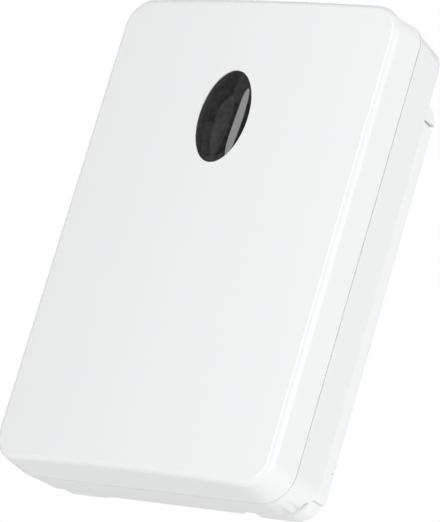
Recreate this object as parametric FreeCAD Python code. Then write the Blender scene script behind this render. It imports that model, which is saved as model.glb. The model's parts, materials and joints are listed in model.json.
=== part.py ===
import FreeCAD, Part
import math
import os

# Wireless dusk sensor for a wall outdoors, in millimetres
# X runs to the right, Y points into the wall and Z points up, so the front looks along -Y
# The origin is on the wall, behind the middle of the case

V = FreeCAD.Vector

# Case
case_width = 72.0
case_height = 105.5
corner_radius = 7.0
back_corner_radius = 7.9
wall = 2.2
housing_depth = 10.0
housing_side_draft = 0.9
housing_end_draft = 0.2
cover_depth = 7.8
cover_draft = 0.8
crown = 2.2
face_fillet = 1.2
back_round = 0.5
shut_line = 0.2
shut_depth = 0.5
plate_standoff = 4.5

# Joint between cover and housing
tongue_thickness = 0.8
tongue_height = 1.5
tongue_clearance = 0.3
seal_thickness = 0.5
post_radius = 1.6
post_fit = 0.05
socket_wall = 1.4
socket_height = 5.4
post_end_gap = 0.6

# Window
window_half_width = 6.2
window_half_height = 10.2
window_drop = 27.55
window_clearance = 0.1
window_dome = 1.2
window_recess = 0.2
window_wall = 1.5
window_flange = 1.2
window_flange_thickness = 1.0
window_seat = 0.8
window_tape = 0.2

# Wall plate
plate_side_inset = 1.7
plate_foot_inset = 1.05
plate_middle_inset = 3.5
plate_corner = 5.9
plate_base = 2.0
plate_rim = 1.6
plate_edge_round = 0.6
plate_front_round = 0.4
foot_inner = 19.4
foot_end_round = 1.0
foot_height = 4.0
foot_side_inset = 1.2
foot_slit = 0.35
foot_slit_bite = 0.2
foot_recess_height = 3.85
foot_recess_gap = 0.5
foot_recess_length = 2.0
foot_recess_step = 1.4
plate_screw_spacing = 60.0
plate_screw_centre = -6.0
plate_screw_radius = 2.25
plate_boss_radius = 5.0
plate_boss_height = 2.2
plate_rib = 1.2
plate_rib_height = 1.8
plate_rib_spacing = 26.0
rim_notch_rise = 10.4
rim_notch_height = 0.3
rim_notch_depth = 1.2
rim_notch_bite = 0.6
ear_slit = 0.25
ear_slit_flare = 1.0

# Ears and hinge pins of the housing, in which the sensor hangs on the plate
ear_drop = 17.75
ear_width = 9.8
ear_height = 3.7
pin_radius = 1.2
pin_fit = 0.05
pin_length = 5.0
pin_up = 1.8
pin_back = 2.15
cradle_width = 4.0
cradle_side_gap = 0.5
cradle_lip = 0.65

# Snap hook of the plate and its pocket in the housing
hook_half_width = 5.0
hook_thickness = 1.2
hook_inset = 3.0
hook_reach = 6.4
hook_tooth = 0.6
hook_clearance = 0.35
pocket_wall = 1.2

# Batteries and their holder
cell_dia = 10.5
cell_length = 44.5
cell_nub_radius = 1.9
cell_nub_length = 0.9
cell_edge = 0.6
cell_pitch = 11.6
cell_clearance = 0.2
holder_end_gap = 10.6
holder_floor = 1.0
holder_wall = 1.2
holder_side_height = 6.2
holder_rib = 1.4
holder_rib_height = 1.6
holder_screw_x = 12.0
contact_thickness = 0.3
contact_width = 8.0
contact_tab_width = 2.4
contact_tab_rise = 5.0
contact_tab_gap = 0.4
contact_slot_gap = 0.3
spring_wire = 0.6
spring_turns = 3
spring_big_radius = 3.6
spring_small_radius = 1.9
spring_room = 3.9
spring_seat_gap = 0.08

# Circuit board
board_thickness = 1.6
board_standoff = 3.2
board_side_gap = 1.4
board_end_gap = 2.55
board_holder_gap = 1.6
board_corner_cut = 8.4
board_corner_drop = 7.6
boss_radius = 2.6
board_screw_inset = 4.8
board_screw_drop = 17.0

# Screws
screw_radius = 0.95
screw_fit = 0.05
screw_clearance = 0.15
screw_length = 5.0
screw_head_radius = 1.9
screw_head_height = 1.3
screw_slot = 0.55
screw_slot_depth = 0.6
panel_screw_length = 6.5

# Control panel with its two dials and two buttons
panel_side_gap = 0.6
panel_crystal_gap = 1.95
panel_board_drop = 0.2
panel_thickness = 1.6
panel_front_height = 6.2
panel_corner = 2.4
panel_skirt = 1.3
panel_board_gap = 0.3
panel_edge_round = 0.5
panel_screw_inset = 3.0
tower_radius = 2.7
tower_clearance = 0.4
skirt_tower_gap = 0.4
dial_button_gap = 0.6
dial_radius = 6.5
dial_clearance = 0.3
dial_thickness = 2.6
dial_proud = 1.2
dial_shaft_radius = 2.0
dial_shaft_length = 3.4
dial_grip_width = 2.6
dial_grip_height = 0.7
dial_grip_share = 0.72
dial_mark_width = 0.6
dial_mark_depth = 0.3
dial_scallops = 14
dial_scallop_radius = 0.7
pot_side = 9.6
pot_height = 4.4
switch_side = 10.0
switch_height = 4.4
button_gap = 1.8
button_width = 7.0
button_height = 5.0
button_corner = 1.3
button_clearance = 0.25
button_proud = 0.9
button_flange = 1.0
button_flange_thickness = 1.1
button_travel = 0.5
tact_side = 6.0
tact_height = 2.7
tact_plunger_radius = 1.7
tact_plunger_depth = 1.2
tact_overtravel = 0.3

# Sensing and radio parts on the board
shroud_half_width = 5.0
shroud_half_height = 8.8
shroud_gap = 0.5
cell_bore = 3.0
cell_rise = 2.8
cell_radius = 2.55
cell_thickness = 2.0
track_pitch = 0.8
track_width = 0.3
track_height = 0.15
led_bore = 1.9
led_drop = 5.4
led_radius = 1.5
led_length = 3.8
led_flange_radius = 1.8
led_flange_height = 0.8
antenna_wire = 0.8
antenna_radius = 2.6
antenna_pitch = 1.9
antenna_turns = 11
antenna_edge_gap = 6.4
antenna_lift = 3.7
radio_width = 15.0
radio_height = 13.0
radio_thickness = 0.8
radio_inset = 13.8
radio_drop = 23.4
radio_lift = 1.2
radio_pin_pitch = 2.54
radio_pin_side = 0.6
radio_pin_inset = 1.5
radio_can_radius = 2.9
radio_can_height = 2.4
radio_can_flange = 0.6
radio_can_side = 2.6
radio_can_up = 1.6
chip_width = 5.2
chip_length = 10.0
chip_height = 1.6
chip_lift = 0.15
chip_inset = 14.8
chip_drop = 24.0
chip_leads = 8
chip_lead_pitch = 1.27
chip_lead_width = 0.42
chip_lead_reach = 1.1
chip_lead_thickness = 0.2
capacitor_radius = 2.5
capacitor_length = 8.0
capacitor_inset = 13.4
capacitor_drop = 11.4
crystal_length = 10.2
crystal_width = 3.8
crystal_height = 3.4
crystal_step = 0.4
crystal_base = 0.5
crystal_side = 1.1
crystal_below = 9.4
chip_part_length = 1.6
chip_part_width = 0.8
chip_part_height = 0.5
chip_part_pitch = 2.8
chip_part_gap = 3.6

# Levels in depth
back_y = -plate_standoff
split_y = back_y - housing_depth
face_y = split_y - cover_depth
apex_y = face_y - crown
floor_y = back_y - wall
board_back_y = floor_y - board_standoff
board_y = board_back_y - board_thickness
panel_y = board_y - panel_front_height
panel_back_y = panel_y + panel_thickness
seat_y = apex_y + wall + window_seat
flange_y = seat_y + window_tape
flange_back_y = flange_y + window_flange_thickness
tongue_y = split_y - tongue_height
seal_y = tongue_y - seal_thickness
socket_y = floor_y - socket_height
pin_y = back_y + pin_back
cells_y = floor_y - holder_floor - cell_clearance - cell_dia / 2

# Places across and up
case_side = case_width / 2
case_end = case_height / 2
crown_half = case_side - cover_draft
crown_radius = (crown_half ** 2 + crown ** 2) / (2 * crown)
post_x = case_side - corner_radius
post_z = case_end - corner_radius
window_height = case_end - window_drop
plate_half_width = case_side - plate_side_inset
plate_bottom = -case_end + plate_foot_inset
plate_middle_bottom = -case_end + plate_middle_inset
ear_bottom = case_end - ear_drop
ear_inner = plate_half_width - ear_width
pin_z = ear_bottom + pin_up
hook_top = plate_middle_bottom + hook_inset
lower_cell_z = wall - case_end + holder_end_gap + holder_wall + cell_clearance + cell_dia / 2
upper_cell_z = lower_cell_z + cell_pitch
holder_mid = (lower_cell_z + upper_cell_z) / 2
holder_bottom = wall - case_end + holder_end_gap
holder_top = upper_cell_z + cell_dia / 2 + cell_clearance + holder_wall
contact_x = (cell_length + spring_room) / 2
holder_x = contact_x + contact_thickness
board_half_width = case_side - wall - board_side_gap
board_bottom = holder_top + board_holder_gap
board_top = case_end - wall - board_end_gap
board_screw_x = board_half_width - board_screw_inset
board_screw_z = board_top - board_screw_drop
panel_half_width = case_side - wall - panel_side_gap
panel_bottom = board_bottom - panel_board_drop
panel_screw_x = panel_half_width - panel_screw_inset
button_x = button_gap / 2 + button_flange + button_width / 2
dial_x = button_x + button_width / 2 + button_flange + dial_button_gap + dial_radius
sensor_z = window_height + cell_rise
led_z = window_height - led_drop
antenna_z = board_top - antenna_edge_gap
radio_x = board_half_width - radio_inset
radio_z = board_top - radio_drop
chip_x = chip_inset - board_half_width
chip_z = board_top - chip_drop
capacitor_x = capacitor_inset - board_half_width
capacitor_z = board_top - capacitor_drop
crystal_x = chip_x + crystal_side
crystal_z = chip_z - crystal_below
panel_top = crystal_z - crystal_width / 2 - panel_crystal_gap
control_height = (panel_bottom + panel_top) / 2


def rounded_wire(width, height, radius, y, centre_z=0.0):
    """Rounded rectangle in the plane at depth y, as four lines and four arcs."""
    radius = min(radius, width / 2 - 0.01, height / 2 - 0.01)
    half_w = width / 2
    half_h = height / 2
    edges = []
    corners = [(1, 1), (-1, 1), (-1, -1), (1, -1)]
    for index, (sx, sz) in enumerate(corners):
        centre = V(sx * (half_w - radius), y, centre_z + sz * (half_h - radius))
        start = math.radians(90 * index)
        points = []
        for step in (0, 1, 2):
            angle = start + math.radians(45 * step)
            points.append(centre + V(radius * math.cos(angle), 0, radius * math.sin(angle)))
        if edges:
            edges.append(Part.LineSegment(last, points[0]).toShape())
        else:
            first = points[0]
        edges.append(Part.Arc(*points).toShape())
        last = points[2]
    edges.append(Part.LineSegment(last, first).toShape())
    return Part.Wire(edges)


def rounded_block(width, height, radius, y0, y1, centre_x=0.0, centre_z=0.0):
    """Rounded rectangle extruded from depth y0 to y1."""
    face = Part.Face(rounded_wire(width, height, radius, y0, centre_z))
    block = face.extrude(V(0, y1 - y0, 0))
    block.translate(V(centre_x, 0, 0))
    return block


def case_block(inset, y0, y1):
    """Outline of the case, moved in by a distance all round, from y0 to y1."""
    return rounded_block(case_width - 2 * inset, case_height - 2 * inset, corner_radius - inset, y0, y1)


def housing_block(inset, y0, y1, front_inset=None):
    """Tapered outline of the housing, which narrows from the shut line to the wall."""
    wires = []
    for y, step in ((y0, inset if front_inset is None else front_inset), (y1, inset)):
        share = (y - split_y) / housing_depth
        width = case_width - 2 * (step + share * housing_side_draft)
        height = case_height - 2 * (step + share * housing_end_draft)
        radius = corner_radius + share * (back_corner_radius - corner_radius) - step
        wires.append(rounded_wire(width, height, radius, y))
    return Part.makeLoft(wires, True, True)


def block(x0, x1, y0, y1, z0, z1):
    return Part.makeBox(x1 - x0, abs(y1 - y0), z1 - z0, V(x0, min(y0, y1), z0))


def rod(radius, y0, y1, x, z):
    """Cylinder along Y between two depths."""
    return Part.makeCylinder(radius, abs(y1 - y0), V(x, min(y0, y1), z), V(0, 1, 0))


def oval_block(half_width, half_height, y0, y1, z):
    """Upright ellipse extruded from depth y0 to y1."""
    centre = V(0, y0, z)
    ellipse = Part.Ellipse(centre + V(0, 0, half_height), centre + V(half_width, 0, 0), centre)
    return Part.Face(Part.Wire(ellipse.toShape())).extrude(V(0, y1 - y0, 0))


def side_profile(points, x0, x1):
    """Closed outline in the YZ plane, given as (y, z) points, extruded along X."""
    wire = Part.makePolygon([V(x0, y, z) for y, z in points] + [V(x0, *points[0])])
    return Part.Face(wire).extrude(V(x1 - x0, 0, 0))


def both_sides(shape):
    """The shape and its mirror image across the middle plane."""
    return [shape, shape.mirror(V(0, 0, 0), V(1, 0, 0))]


def edges_at(shape, y, tolerance=0.01):
    """Edges that lie wholly at one depth."""
    found = []
    for edge in shape.Edges:
        box = edge.BoundBox
        if abs(box.YMin - y) < tolerance and abs(box.YMax - y) < tolerance:
            found.append(edge)
    return found


def crown_cylinder(offset):
    """Long cylinder about an upright axis whose front gives the crowned face, moved in by offset."""
    radius = crown_radius - offset
    height = 2 * case_height
    return Part.makeCylinder(radius, height, V(0, apex_y + crown_radius, -height / 2))


def drafted_block(inset, y0, y1):
    """Tapered outline of the cover, which narrows from the shut line to the front."""
    rise = (split_y - y0) / cover_depth * cover_draft
    fall = (split_y - y1) / cover_depth * cover_draft
    wires = []
    for y, lean in ((y0, rise), (y1, fall)):
        move = inset + lean
        wires.append(rounded_wire(case_width - 2 * move, case_height - 2 * move, corner_radius - move, y))
    return Part.makeLoft(wires, True, True)


def front_cover():
    """Crowned, tapered shell with a rounded front edge, window seat and four guide posts."""
    outer = drafted_block(0, split_y, apex_y - 1).common(crown_cylinder(0))
    crowned = max(outer.Faces, key=lambda face: -face.CenterOfMass.y)
    outer = outer.makeFillet(face_fillet, crowned.OuterWire.Edges)
    hollow = drafted_block(wall, split_y + 1, apex_y - 1).common(crown_cylinder(wall))
    relief = case_block(wall - tongue_thickness - tongue_clearance, split_y + 1, seal_y - tongue_clearance)
    shell = outer.cut([hollow, relief])
    inside = crown_cylinder(wall / 2)
    seat = oval_block(
        window_half_width + window_clearance + window_flange,
        window_half_height + window_clearance + window_flange,
        apex_y, seat_y, window_height,
    ).common(inside)
    posts = []
    for sx in (-1, 1):
        for sz in (-1, 1):
            post = rod(post_radius, apex_y, floor_y - post_end_gap, sx * post_x, sz * post_z)
            tip = edges_at(post, floor_y - post_end_gap)
            posts.append(post.makeChamfer(post_radius / 3, tip).common(inside))
    shell = shell.fuse([seat] + posts)
    hole = oval_block(
        window_half_width + window_clearance,
        window_half_height + window_clearance,
        apex_y - 1, seat_y + 1, window_height,
    )
    return shell.cut(hole).removeSplitter()


def dome(half_width, half_height, rise, base_y):
    """Cap of an ellipsoid that stands rise in front of the depth base_y."""
    share = 0.2
    radius = (1 + share ** 2) / (2 * share)
    ball = Part.makeSphere(radius, V(0, radius - share, 0))
    cap = ball.common(Part.makeBox(4, share, 4, V(-2, -share, -2)))
    matrix = FreeCAD.Matrix()
    matrix.scale(half_width, rise / share, half_height)
    cap = cap.transformGeometry(matrix)
    cap.translate(V(0, base_y, window_height))
    return cap


def window_lens():
    """Domed oval lens with a flange behind the cover."""
    edge_y = apex_y + window_recess
    body = oval_block(window_half_width, window_half_height, edge_y, flange_y, window_height)
    flange = oval_block(
        window_half_width + window_flange,
        window_half_height + window_flange,
        flange_y, flange_back_y, window_height,
    )
    lens = body.fuse([flange, dome(window_half_width, window_half_height, window_dome, edge_y)])
    inner = (window_half_width - window_wall, window_half_height - window_wall)
    inner_y = edge_y + window_wall
    lens = lens.cut(oval_block(*inner, inner_y, flange_back_y + 1, window_height))
    return lens.cut(dome(*inner, window_dome / 2, inner_y)).removeSplitter()


def window_tape_ring():
    """Adhesive ring between the lens flange and its seat."""
    outer = oval_block(
        window_half_width + window_flange,
        window_half_height + window_flange,
        seat_y, flange_y, window_height,
    )
    inner = oval_block(
        window_half_width + window_clearance,
        window_half_height + window_clearance,
        seat_y, flange_y, window_height,
    )
    return outer.cut(inner)


def ear():
    """Quarter round ear on the back of the housing with the hinge pin on its inner side."""
    centre = V(ear_inner, back_y, ear_bottom)
    top = centre + V(0, 0, ear_height)
    rear = centre + V(0, plate_standoff, 0)
    long_end, short_end = (rear, top) if plate_standoff > ear_height else (top, rear)
    oval = Part.Face(Part.Wire(Part.Ellipse(long_end, short_end, centre).toShape())).extrude(V(ear_width, 0, 0))
    quarter = block(ear_inner, plate_half_width, back_y, 0, ear_bottom, ear_bottom + ear_height)
    body = oval.common(quarter)
    side = [edge for edge in body.Edges if edge.BoundBox.XMin > plate_half_width - 0.01]
    body = body.makeFillet(plate_edge_round * 0.8, [edge for edge in side if edge.BoundBox.YMax > back_y + 0.01
                                                    and edge.BoundBox.ZMax > ear_bottom + 0.01])
    pin = Part.makeCylinder(pin_radius, pin_length, V(ear_inner - pin_length, pin_y, pin_z), V(1, 0, 0))
    return body.fuse(pin)


def hook_pocket(extra):
    """Block that holds the hook pocket, grown by extra on each side and at the front."""
    half = hook_half_width + hook_clearance + extra
    top = hook_top + hook_clearance + extra
    bottom = hook_top - hook_thickness - hook_tooth - hook_clearance - extra
    front = -plate_base - hook_reach - hook_clearance - extra
    return half, top, bottom, front


def rear_housing():
    """Shell with the rim tongue, hinge ears, sockets, bosses, towers and the hook pocket."""
    outer = housing_block(0, split_y + shut_line, back_y)
    outer = outer.makeFillet(back_round, edges_at(outer, back_y))
    outer = outer.fuse(case_block(shut_depth, split_y, split_y + shut_line))
    tongue = case_block(wall - tongue_thickness, split_y, tongue_y)
    room = housing_block(wall, split_y, floor_y)
    shell = outer.fuse(tongue).cut([room, case_block(wall, split_y, tongue_y - 1)])
    adds = both_sides(ear())
    cuts = []
    for sx in (-1, 1):
        for sz in (-1, 1):
            adds.append(rod(post_radius + socket_wall, floor_y, socket_y, sx * post_x, sz * post_z))
            cuts.append(rod(post_radius + post_fit, floor_y, socket_y - 1, sx * post_x, sz * post_z))
        adds.append(rod(boss_radius, floor_y, board_back_y, sx * board_screw_x, board_screw_z))
        cuts.append(screw_hole(sx * board_screw_x, board_screw_z, board_back_y))
        adds.append(rod(tower_radius, floor_y, panel_back_y, sx * panel_screw_x, control_height))
        cuts.append(screw_hole(sx * panel_screw_x, control_height, panel_back_y))
        adds.append(rod(boss_radius, floor_y, board_back_y, sx * dial_x, board_bottom + boss_radius))
        cuts.append(rod(screw_radius + screw_fit, back_y - wall / 3, floor_y, sx * holder_screw_x, holder_mid))
    half, top, bottom, front = hook_pocket(pocket_wall)
    adds.append(block(-half, half, floor_y, front, bottom, top))
    half, top, bottom, front = hook_pocket(0)
    cuts.append(block(-half, half, back_y + 1, front, bottom, top))
    cuts += both_sides(foot_recess())
    return shell.fuse(adds).cut(cuts).removeSplitter()


def foot_recess():
    """Slope cut into the lower back edge of the housing, which leaves a gap round one foot of the plate."""
    front = back_y - foot_recess_length
    corner = block(
        foot_inner - foot_recess_gap, case_side + 1, front, back_y + 1,
        -case_end - 1, foot_recess_height - case_end,
    )
    kept = housing_block(foot_recess_step, front, back_y, front_inset=0)
    behind = housing_block(foot_recess_step, back_y, back_y + 2)
    return corner.cut(kept).cut(behind)


def screw_hole(x, z, top_y):
    """Blind pilot hole for a screw whose seat is at top_y."""
    return rod(screw_radius + screw_fit, top_y - 1, min(top_y + panel_screw_length, floor_y + wall / 2), x, z)


def case_seal():
    """Flat rubber ring on the tip of the rim tongue."""
    ring = case_block(wall - tongue_thickness, tongue_y, seal_y)
    return ring.cut(case_block(wall, tongue_y, seal_y))


def cradle():
    """Open hook on the plate's top edge that carries one hinge pin."""
    radius = pin_radius + pin_fit
    front = pin_y - radius - cradle_lip
    foot = ear_bottom - ear_slit - plate_rim
    outer_x = ear_inner - cradle_side_gap
    inner_x = outer_x - cradle_width
    points = [(front, foot), (0, foot), (0, pin_z + pin_radius), (front, pin_z + pin_radius)]
    body = side_profile(points, inner_x, outer_x)
    bore = Part.makeCylinder(radius, cradle_width + 2, V(inner_x - 1, pin_y, pin_z), V(1, 0, 0))
    mouth = block(inner_x - 1, outer_x + 1, front - 1, pin_y + radius, pin_z, pin_z + pin_radius + 1)
    return body.cut([bore, mouth])


def plate_hook():
    """Snap hook that reaches from the plate into the housing's pocket."""
    tip_y = -plate_base - hook_reach
    tooth_y = floor_y - hook_clearance
    bottom = hook_top - hook_thickness
    points = [
        (-plate_base / 2, hook_top), (tip_y, hook_top), (tip_y, bottom),
        (tooth_y, bottom - hook_tooth), (tooth_y, bottom), (-plate_base / 2, bottom),
    ]
    return side_profile(points, -hook_half_width, hook_half_width)


def foot_cuts():
    """Cutters that shape one foot of the plate: its stepped side, the slit above it and its round inner end."""
    top = plate_bottom + foot_height
    side_x = plate_half_width - foot_side_inset
    side = block(side_x, plate_half_width + 1, 1, back_y - 1, plate_bottom - 1, top)
    slit = block(side_x - foot_slit_bite, plate_half_width + 1, 1, back_y - 1, top - foot_slit, top)
    end_x = foot_inner + foot_end_round
    end_z = plate_bottom + foot_end_round
    end = block(foot_inner - 1, end_x, 1, back_y - 1, plate_bottom - 1, end_z)
    return [side, slit, end.cut(rod(foot_end_round, 2, back_y - 2, end_x, end_z))]


def wall_plate():
    """Shallow tray that is screwed to the wall, open towards the housing."""
    top = ear_bottom - ear_slit
    height = top - plate_bottom
    middle = (top + plate_bottom) / 2
    width = 2 * plate_half_width
    outer = rounded_block(width, height, plate_corner, 0, back_y, 0, middle)
    square_top = block(-plate_half_width, plate_half_width, 0, back_y, middle, top)
    outer = outer.fuse(square_top).removeSplitter()
    outer = outer.makeFillet(plate_edge_round, edges_at(outer, 0))
    front_edges = [edge for edge in edges_at(outer, back_y) if edge.BoundBox.ZMin < middle]
    outer = outer.makeFillet(plate_front_round, front_edges)
    tray = rounded_block(
        width - 2 * plate_rim, height - 2 * plate_rim, plate_corner - plate_rim,
        -plate_base, back_y - 1, 0, middle,
    )
    adds = both_sides(cradle()) + [plate_hook()]
    cuts = []
    for sz in (-1, 1):
        z = plate_screw_centre + sz * plate_screw_spacing / 2
        boss_y = -plate_base - plate_boss_height
        adds.append(rod(plate_boss_radius, -plate_base / 2, boss_y, 0, z))
        cuts.append(rod(plate_screw_radius, 1, boss_y - 1, 0, z))
    rib_y = -plate_base - plate_rib_height
    for sx in (-1, 1):
        x = sx * foot_inner
        adds.append(block(
            x - plate_rib / 2, x + plate_rib / 2, -plate_base / 2, rib_y,
            plate_middle_bottom + plate_rim, top - plate_rim / 2,
        ))
    for step in (-1, 0, 1):
        z = plate_screw_centre + step * plate_rib_spacing
        for sx in (-1, 1):
            x0, x1 = sorted((sx * foot_inner, sx * (plate_half_width - plate_rim / 2)))
            adds.append(block(x0, x1, -plate_base / 2, rib_y, z - plate_rib / 2, z + plate_rib / 2))
    notch = block(-foot_inner, foot_inner, -plate_base - 1, 1, plate_bottom - 1, plate_middle_bottom)
    rim_notch = block(
        plate_half_width - rim_notch_bite, plate_half_width + 1, 1, -rim_notch_depth,
        plate_bottom + rim_notch_rise, plate_bottom + rim_notch_rise + rim_notch_height,
    )
    open_rim = block(
        -foot_inner, foot_inner, -plate_base, back_y - 1, plate_bottom - 1, plate_bottom + plate_rim + 1,
    )
    slope = side_profile(
        [(back_y - 1, top + 1), (1, top + 1), (1, top - ear_slit_flare), (back_y, top)],
        ear_inner, plate_half_width + 1,
    )
    cuts += [notch, open_rim]
    for cutter in [slope, rim_notch] + foot_cuts():
        cuts += both_sides(cutter)
    return outer.cut(tray).fuse(adds).cut(cuts).removeSplitter()


def board_outline(y0, y1):
    """Circuit board outline with its cut corners and the notches round the panel towers."""
    height = board_top - board_bottom
    middle = (board_top + board_bottom) / 2
    sheet = rounded_block(2 * board_half_width, height, 1.0, y0, y1, 0, middle)
    corner = block(
        board_half_width - board_corner_cut, board_half_width + 1, y0 + 1, y1 - 1,
        board_top - board_corner_drop, board_top + 1,
    )
    reach = tower_radius + tower_clearance
    notch = rod(reach, y0 + 1, y1 - 1, panel_screw_x, control_height)
    side = block(
        panel_screw_x, board_half_width + 1, y0 + 1, y1 - 1, control_height - reach, control_height + reach,
    )
    return sheet.cut(both_sides(corner) + both_sides(notch) + both_sides(side))


def circuit_board():
    board = board_outline(board_back_y, board_y)
    holes = []
    for sx in (-1, 1):
        holes.append(rod(screw_radius + screw_clearance, board_back_y + 1, board_y - 1, sx * board_screw_x, board_screw_z))
    return board.cut(holes)


def screw(x, z, seat_y, length):
    """Pan head screw with a cross recess, along Y with its head to the front."""
    head = rod(screw_head_radius, seat_y, seat_y - screw_head_height, x, z)
    head = head.makeFillet(screw_head_height / 2, edges_at(head, seat_y - screw_head_height))
    shank = rod(screw_radius, seat_y + length, seat_y, x, z)
    shank = shank.makeChamfer(screw_radius / 2, edges_at(shank, seat_y + length))
    body = head.fuse(shank)
    reach = screw_head_radius * 0.6
    front = seat_y - screw_head_height
    cross = []
    for half_x, half_z in ((reach, screw_slot / 2), (screw_slot / 2, reach)):
        cross.append(block(
            x - half_x, x + half_x, front - 1, front + screw_slot_depth, z - half_z, z + half_z,
        ))
    return body.cut(cross)


def board_screws():
    """Two screws that hold the board on its bosses."""
    screws = []
    for sx in (-1, 1):
        screws.append(screw(sx * board_screw_x, board_screw_z, board_y, screw_length))
    return Part.makeCompound(screws)


def holder_screws():
    screws = []
    for sx in (-1, 1):
        screws.append(screw(sx * holder_screw_x, holder_mid, floor_y - holder_floor, holder_floor + wall / 3))
    return Part.makeCompound(screws)


def panel_screws():
    screws = []
    for sx in (-1, 1):
        screws.append(screw(sx * panel_screw_x, control_height, panel_y, panel_screw_length))
    return Part.makeCompound(screws)


def control_panel():
    """Raised panel over the lower half of the board, with holes for two dials and two buttons."""
    width = 2 * panel_half_width
    height = panel_top - panel_bottom
    middle = (panel_top + panel_bottom) / 2
    plate = rounded_block(width, height, panel_corner, panel_back_y, panel_y, 0, middle)
    plate = plate.makeFillet(panel_edge_round, edges_at(plate, panel_y))
    skirt_y = board_y - panel_board_gap
    reach = 2 * (panel_screw_x - tower_radius - skirt_tower_gap)
    skirt = rounded_block(reach, height, panel_corner, skirt_y, panel_back_y, 0, middle)
    room = rounded_block(
        reach - 2 * panel_skirt, height - 2 * panel_skirt, panel_corner - panel_skirt,
        skirt_y + 1, panel_back_y, 0, middle,
    )
    holes = []
    for sx in (-1, 1):
        holes.append(rod(dial_radius + dial_clearance, panel_back_y + 1, panel_y - 1, sx * dial_x, control_height))
        holes.append(rod(screw_radius + screw_clearance, panel_back_y + 1, panel_y - 1, sx * panel_screw_x, control_height))
        holes.append(rounded_block(
            button_width + 2 * button_clearance, button_height + 2 * button_clearance,
            button_corner + button_clearance, panel_back_y + 1, panel_y - 1,
            sx * button_x, control_height,
        ))
    tab_room = block(
        -(holder_x + contact_tab_gap + contact_thickness + contact_slot_gap), contact_slot_gap - contact_x,
        skirt_y + 1, board_y - contact_tab_width - contact_slot_gap,
        panel_bottom - 1, board_bottom + contact_tab_rise + contact_slot_gap,
    )
    return plate.fuse(skirt.cut([room, tab_room])).cut(holes).removeSplitter()


def dial(sx):
    """Knob with scalloped edge, a raised grip with a pointer, and the shaft that turns the control."""
    x = sx * dial_x
    front_y = panel_y - dial_proud
    knob = rod(dial_radius, front_y + dial_thickness, front_y, x, control_height)
    knob = knob.makeFillet(0.5, edges_at(knob, front_y))
    scallops = []
    for index in range(dial_scallops):
        angle = 2 * math.pi * (index + 0.5) / dial_scallops
        reach = dial_radius + dial_scallop_radius / 2
        scallops.append(rod(
            dial_scallop_radius, front_y + dial_proud, front_y - 1,
            x + reach * math.sin(angle), control_height + reach * math.cos(angle),
        ))
    knob = knob.cut(scallops)
    grip = block(
        x - dial_grip_width / 2, x + dial_grip_width / 2,
        front_y, front_y - dial_grip_height,
        control_height - dial_radius * dial_grip_share, control_height + dial_radius * dial_grip_share,
    )
    grip = grip.makeFillet(dial_grip_height * 0.6, edges_at(grip, front_y - dial_grip_height))
    mark_y = front_y - dial_grip_height
    mark = block(
        x - dial_mark_width / 2, x + dial_mark_width / 2, mark_y + dial_mark_depth, mark_y - 1,
        control_height + dial_radius / 5, control_height + dial_radius,
    )
    shaft = rod(dial_shaft_radius, front_y + dial_thickness + dial_shaft_length, front_y + 1, x, control_height)
    return knob.fuse([grip, shaft]).cut(mark).removeSplitter()


def control_body(sx, side, height):
    """Square body of a turning control with the bore in which the dial's shaft turns."""
    x = sx * dial_x
    body = rounded_block(side, side, 0.8, board_y, board_y - height, x, control_height)
    body = body.makeChamfer(0.4, edges_at(body, board_y - height))
    bore_y = panel_y - dial_proud + dial_thickness + dial_shaft_length + panel_board_gap
    return body.cut(rod(dial_shaft_radius + pin_fit, bore_y, board_y - height - 1, x, control_height))


def button_cap(sx):
    """Push button cap with a flange that holds it behind the panel."""
    x = sx * button_x
    front_y = panel_y - button_proud
    cap = rounded_block(button_width, button_height, button_corner, panel_back_y, front_y, x, control_height)
    cap = cap.makeFillet(0.5, edges_at(cap, front_y))
    flange = rounded_block(
        button_width + 2 * button_flange, button_height + 2 * button_flange, button_corner + button_flange,
        panel_back_y + button_flange_thickness, panel_back_y, x, control_height,
    )
    return cap.fuse(flange).removeSplitter()


def tact_body(sx):
    """Body of a push switch with the bore of its plunger."""
    x = sx * button_x
    body = rounded_block(tact_side, tact_side, 0.5, board_y, board_y - tact_height, x, control_height)
    body = body.makeChamfer(0.3, edges_at(body, board_y - tact_height))
    depth = plunger_back_y() + button_travel + tact_overtravel
    return body.cut(rod(tact_plunger_radius + pin_fit, depth, board_y - tact_height - 1, x, control_height))


def plunger_back_y():
    """Depth of the plunger's inner end at rest."""
    return board_y - tact_height + tact_plunger_depth


def tact_plunger(sx):
    """Plunger of a push switch, which rests against the button's flange."""
    return rod(
        tact_plunger_radius, plunger_back_y(), panel_back_y + button_flange_thickness,
        sx * button_x, control_height,
    )


def light_shroud():
    """Oval block with two bores that lead from the window to the light cell and the lamp."""
    body = oval_block(
        shroud_half_width, shroud_half_height, board_y, flange_back_y + shroud_gap, window_height,
    )
    bores = [
        rod(cell_bore, board_y + 1, flange_back_y - 1, 0, sensor_z),
        rod(led_bore, board_y + 1, flange_back_y - 1, 0, led_z),
    ]
    return body.cut(bores)


def light_cell():
    """Round light dependent resistor with the raised track on its face."""
    disc = rod(cell_radius, board_y, board_y - cell_thickness, 0, sensor_z)
    disc = disc.makeFillet(0.3, edges_at(disc, board_y - cell_thickness))
    track = []
    face = board_y - cell_thickness
    for index in range(4):
        z = sensor_z + (index - 1.5) * track_pitch
        half = math.sqrt((cell_radius * 0.72) ** 2 - (z - sensor_z) ** 2)
        track.append(block(
            -half, half, face + track_height, face - track_height, z - track_width / 2, z + track_width / 2,
        ))
    return disc.fuse(track)


def status_lamp():
    """Small light emitting diode with its collar and domed tip."""
    collar = rod(led_flange_radius, board_y, board_y - led_flange_height, 0, led_z)
    stem = rod(led_radius, board_y, board_y - led_length + led_radius, 0, led_z)
    tip = Part.makeSphere(led_radius, V(0, board_y - led_length + led_radius, led_z))
    return collar.fuse([stem, tip]).removeSplitter()


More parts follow.
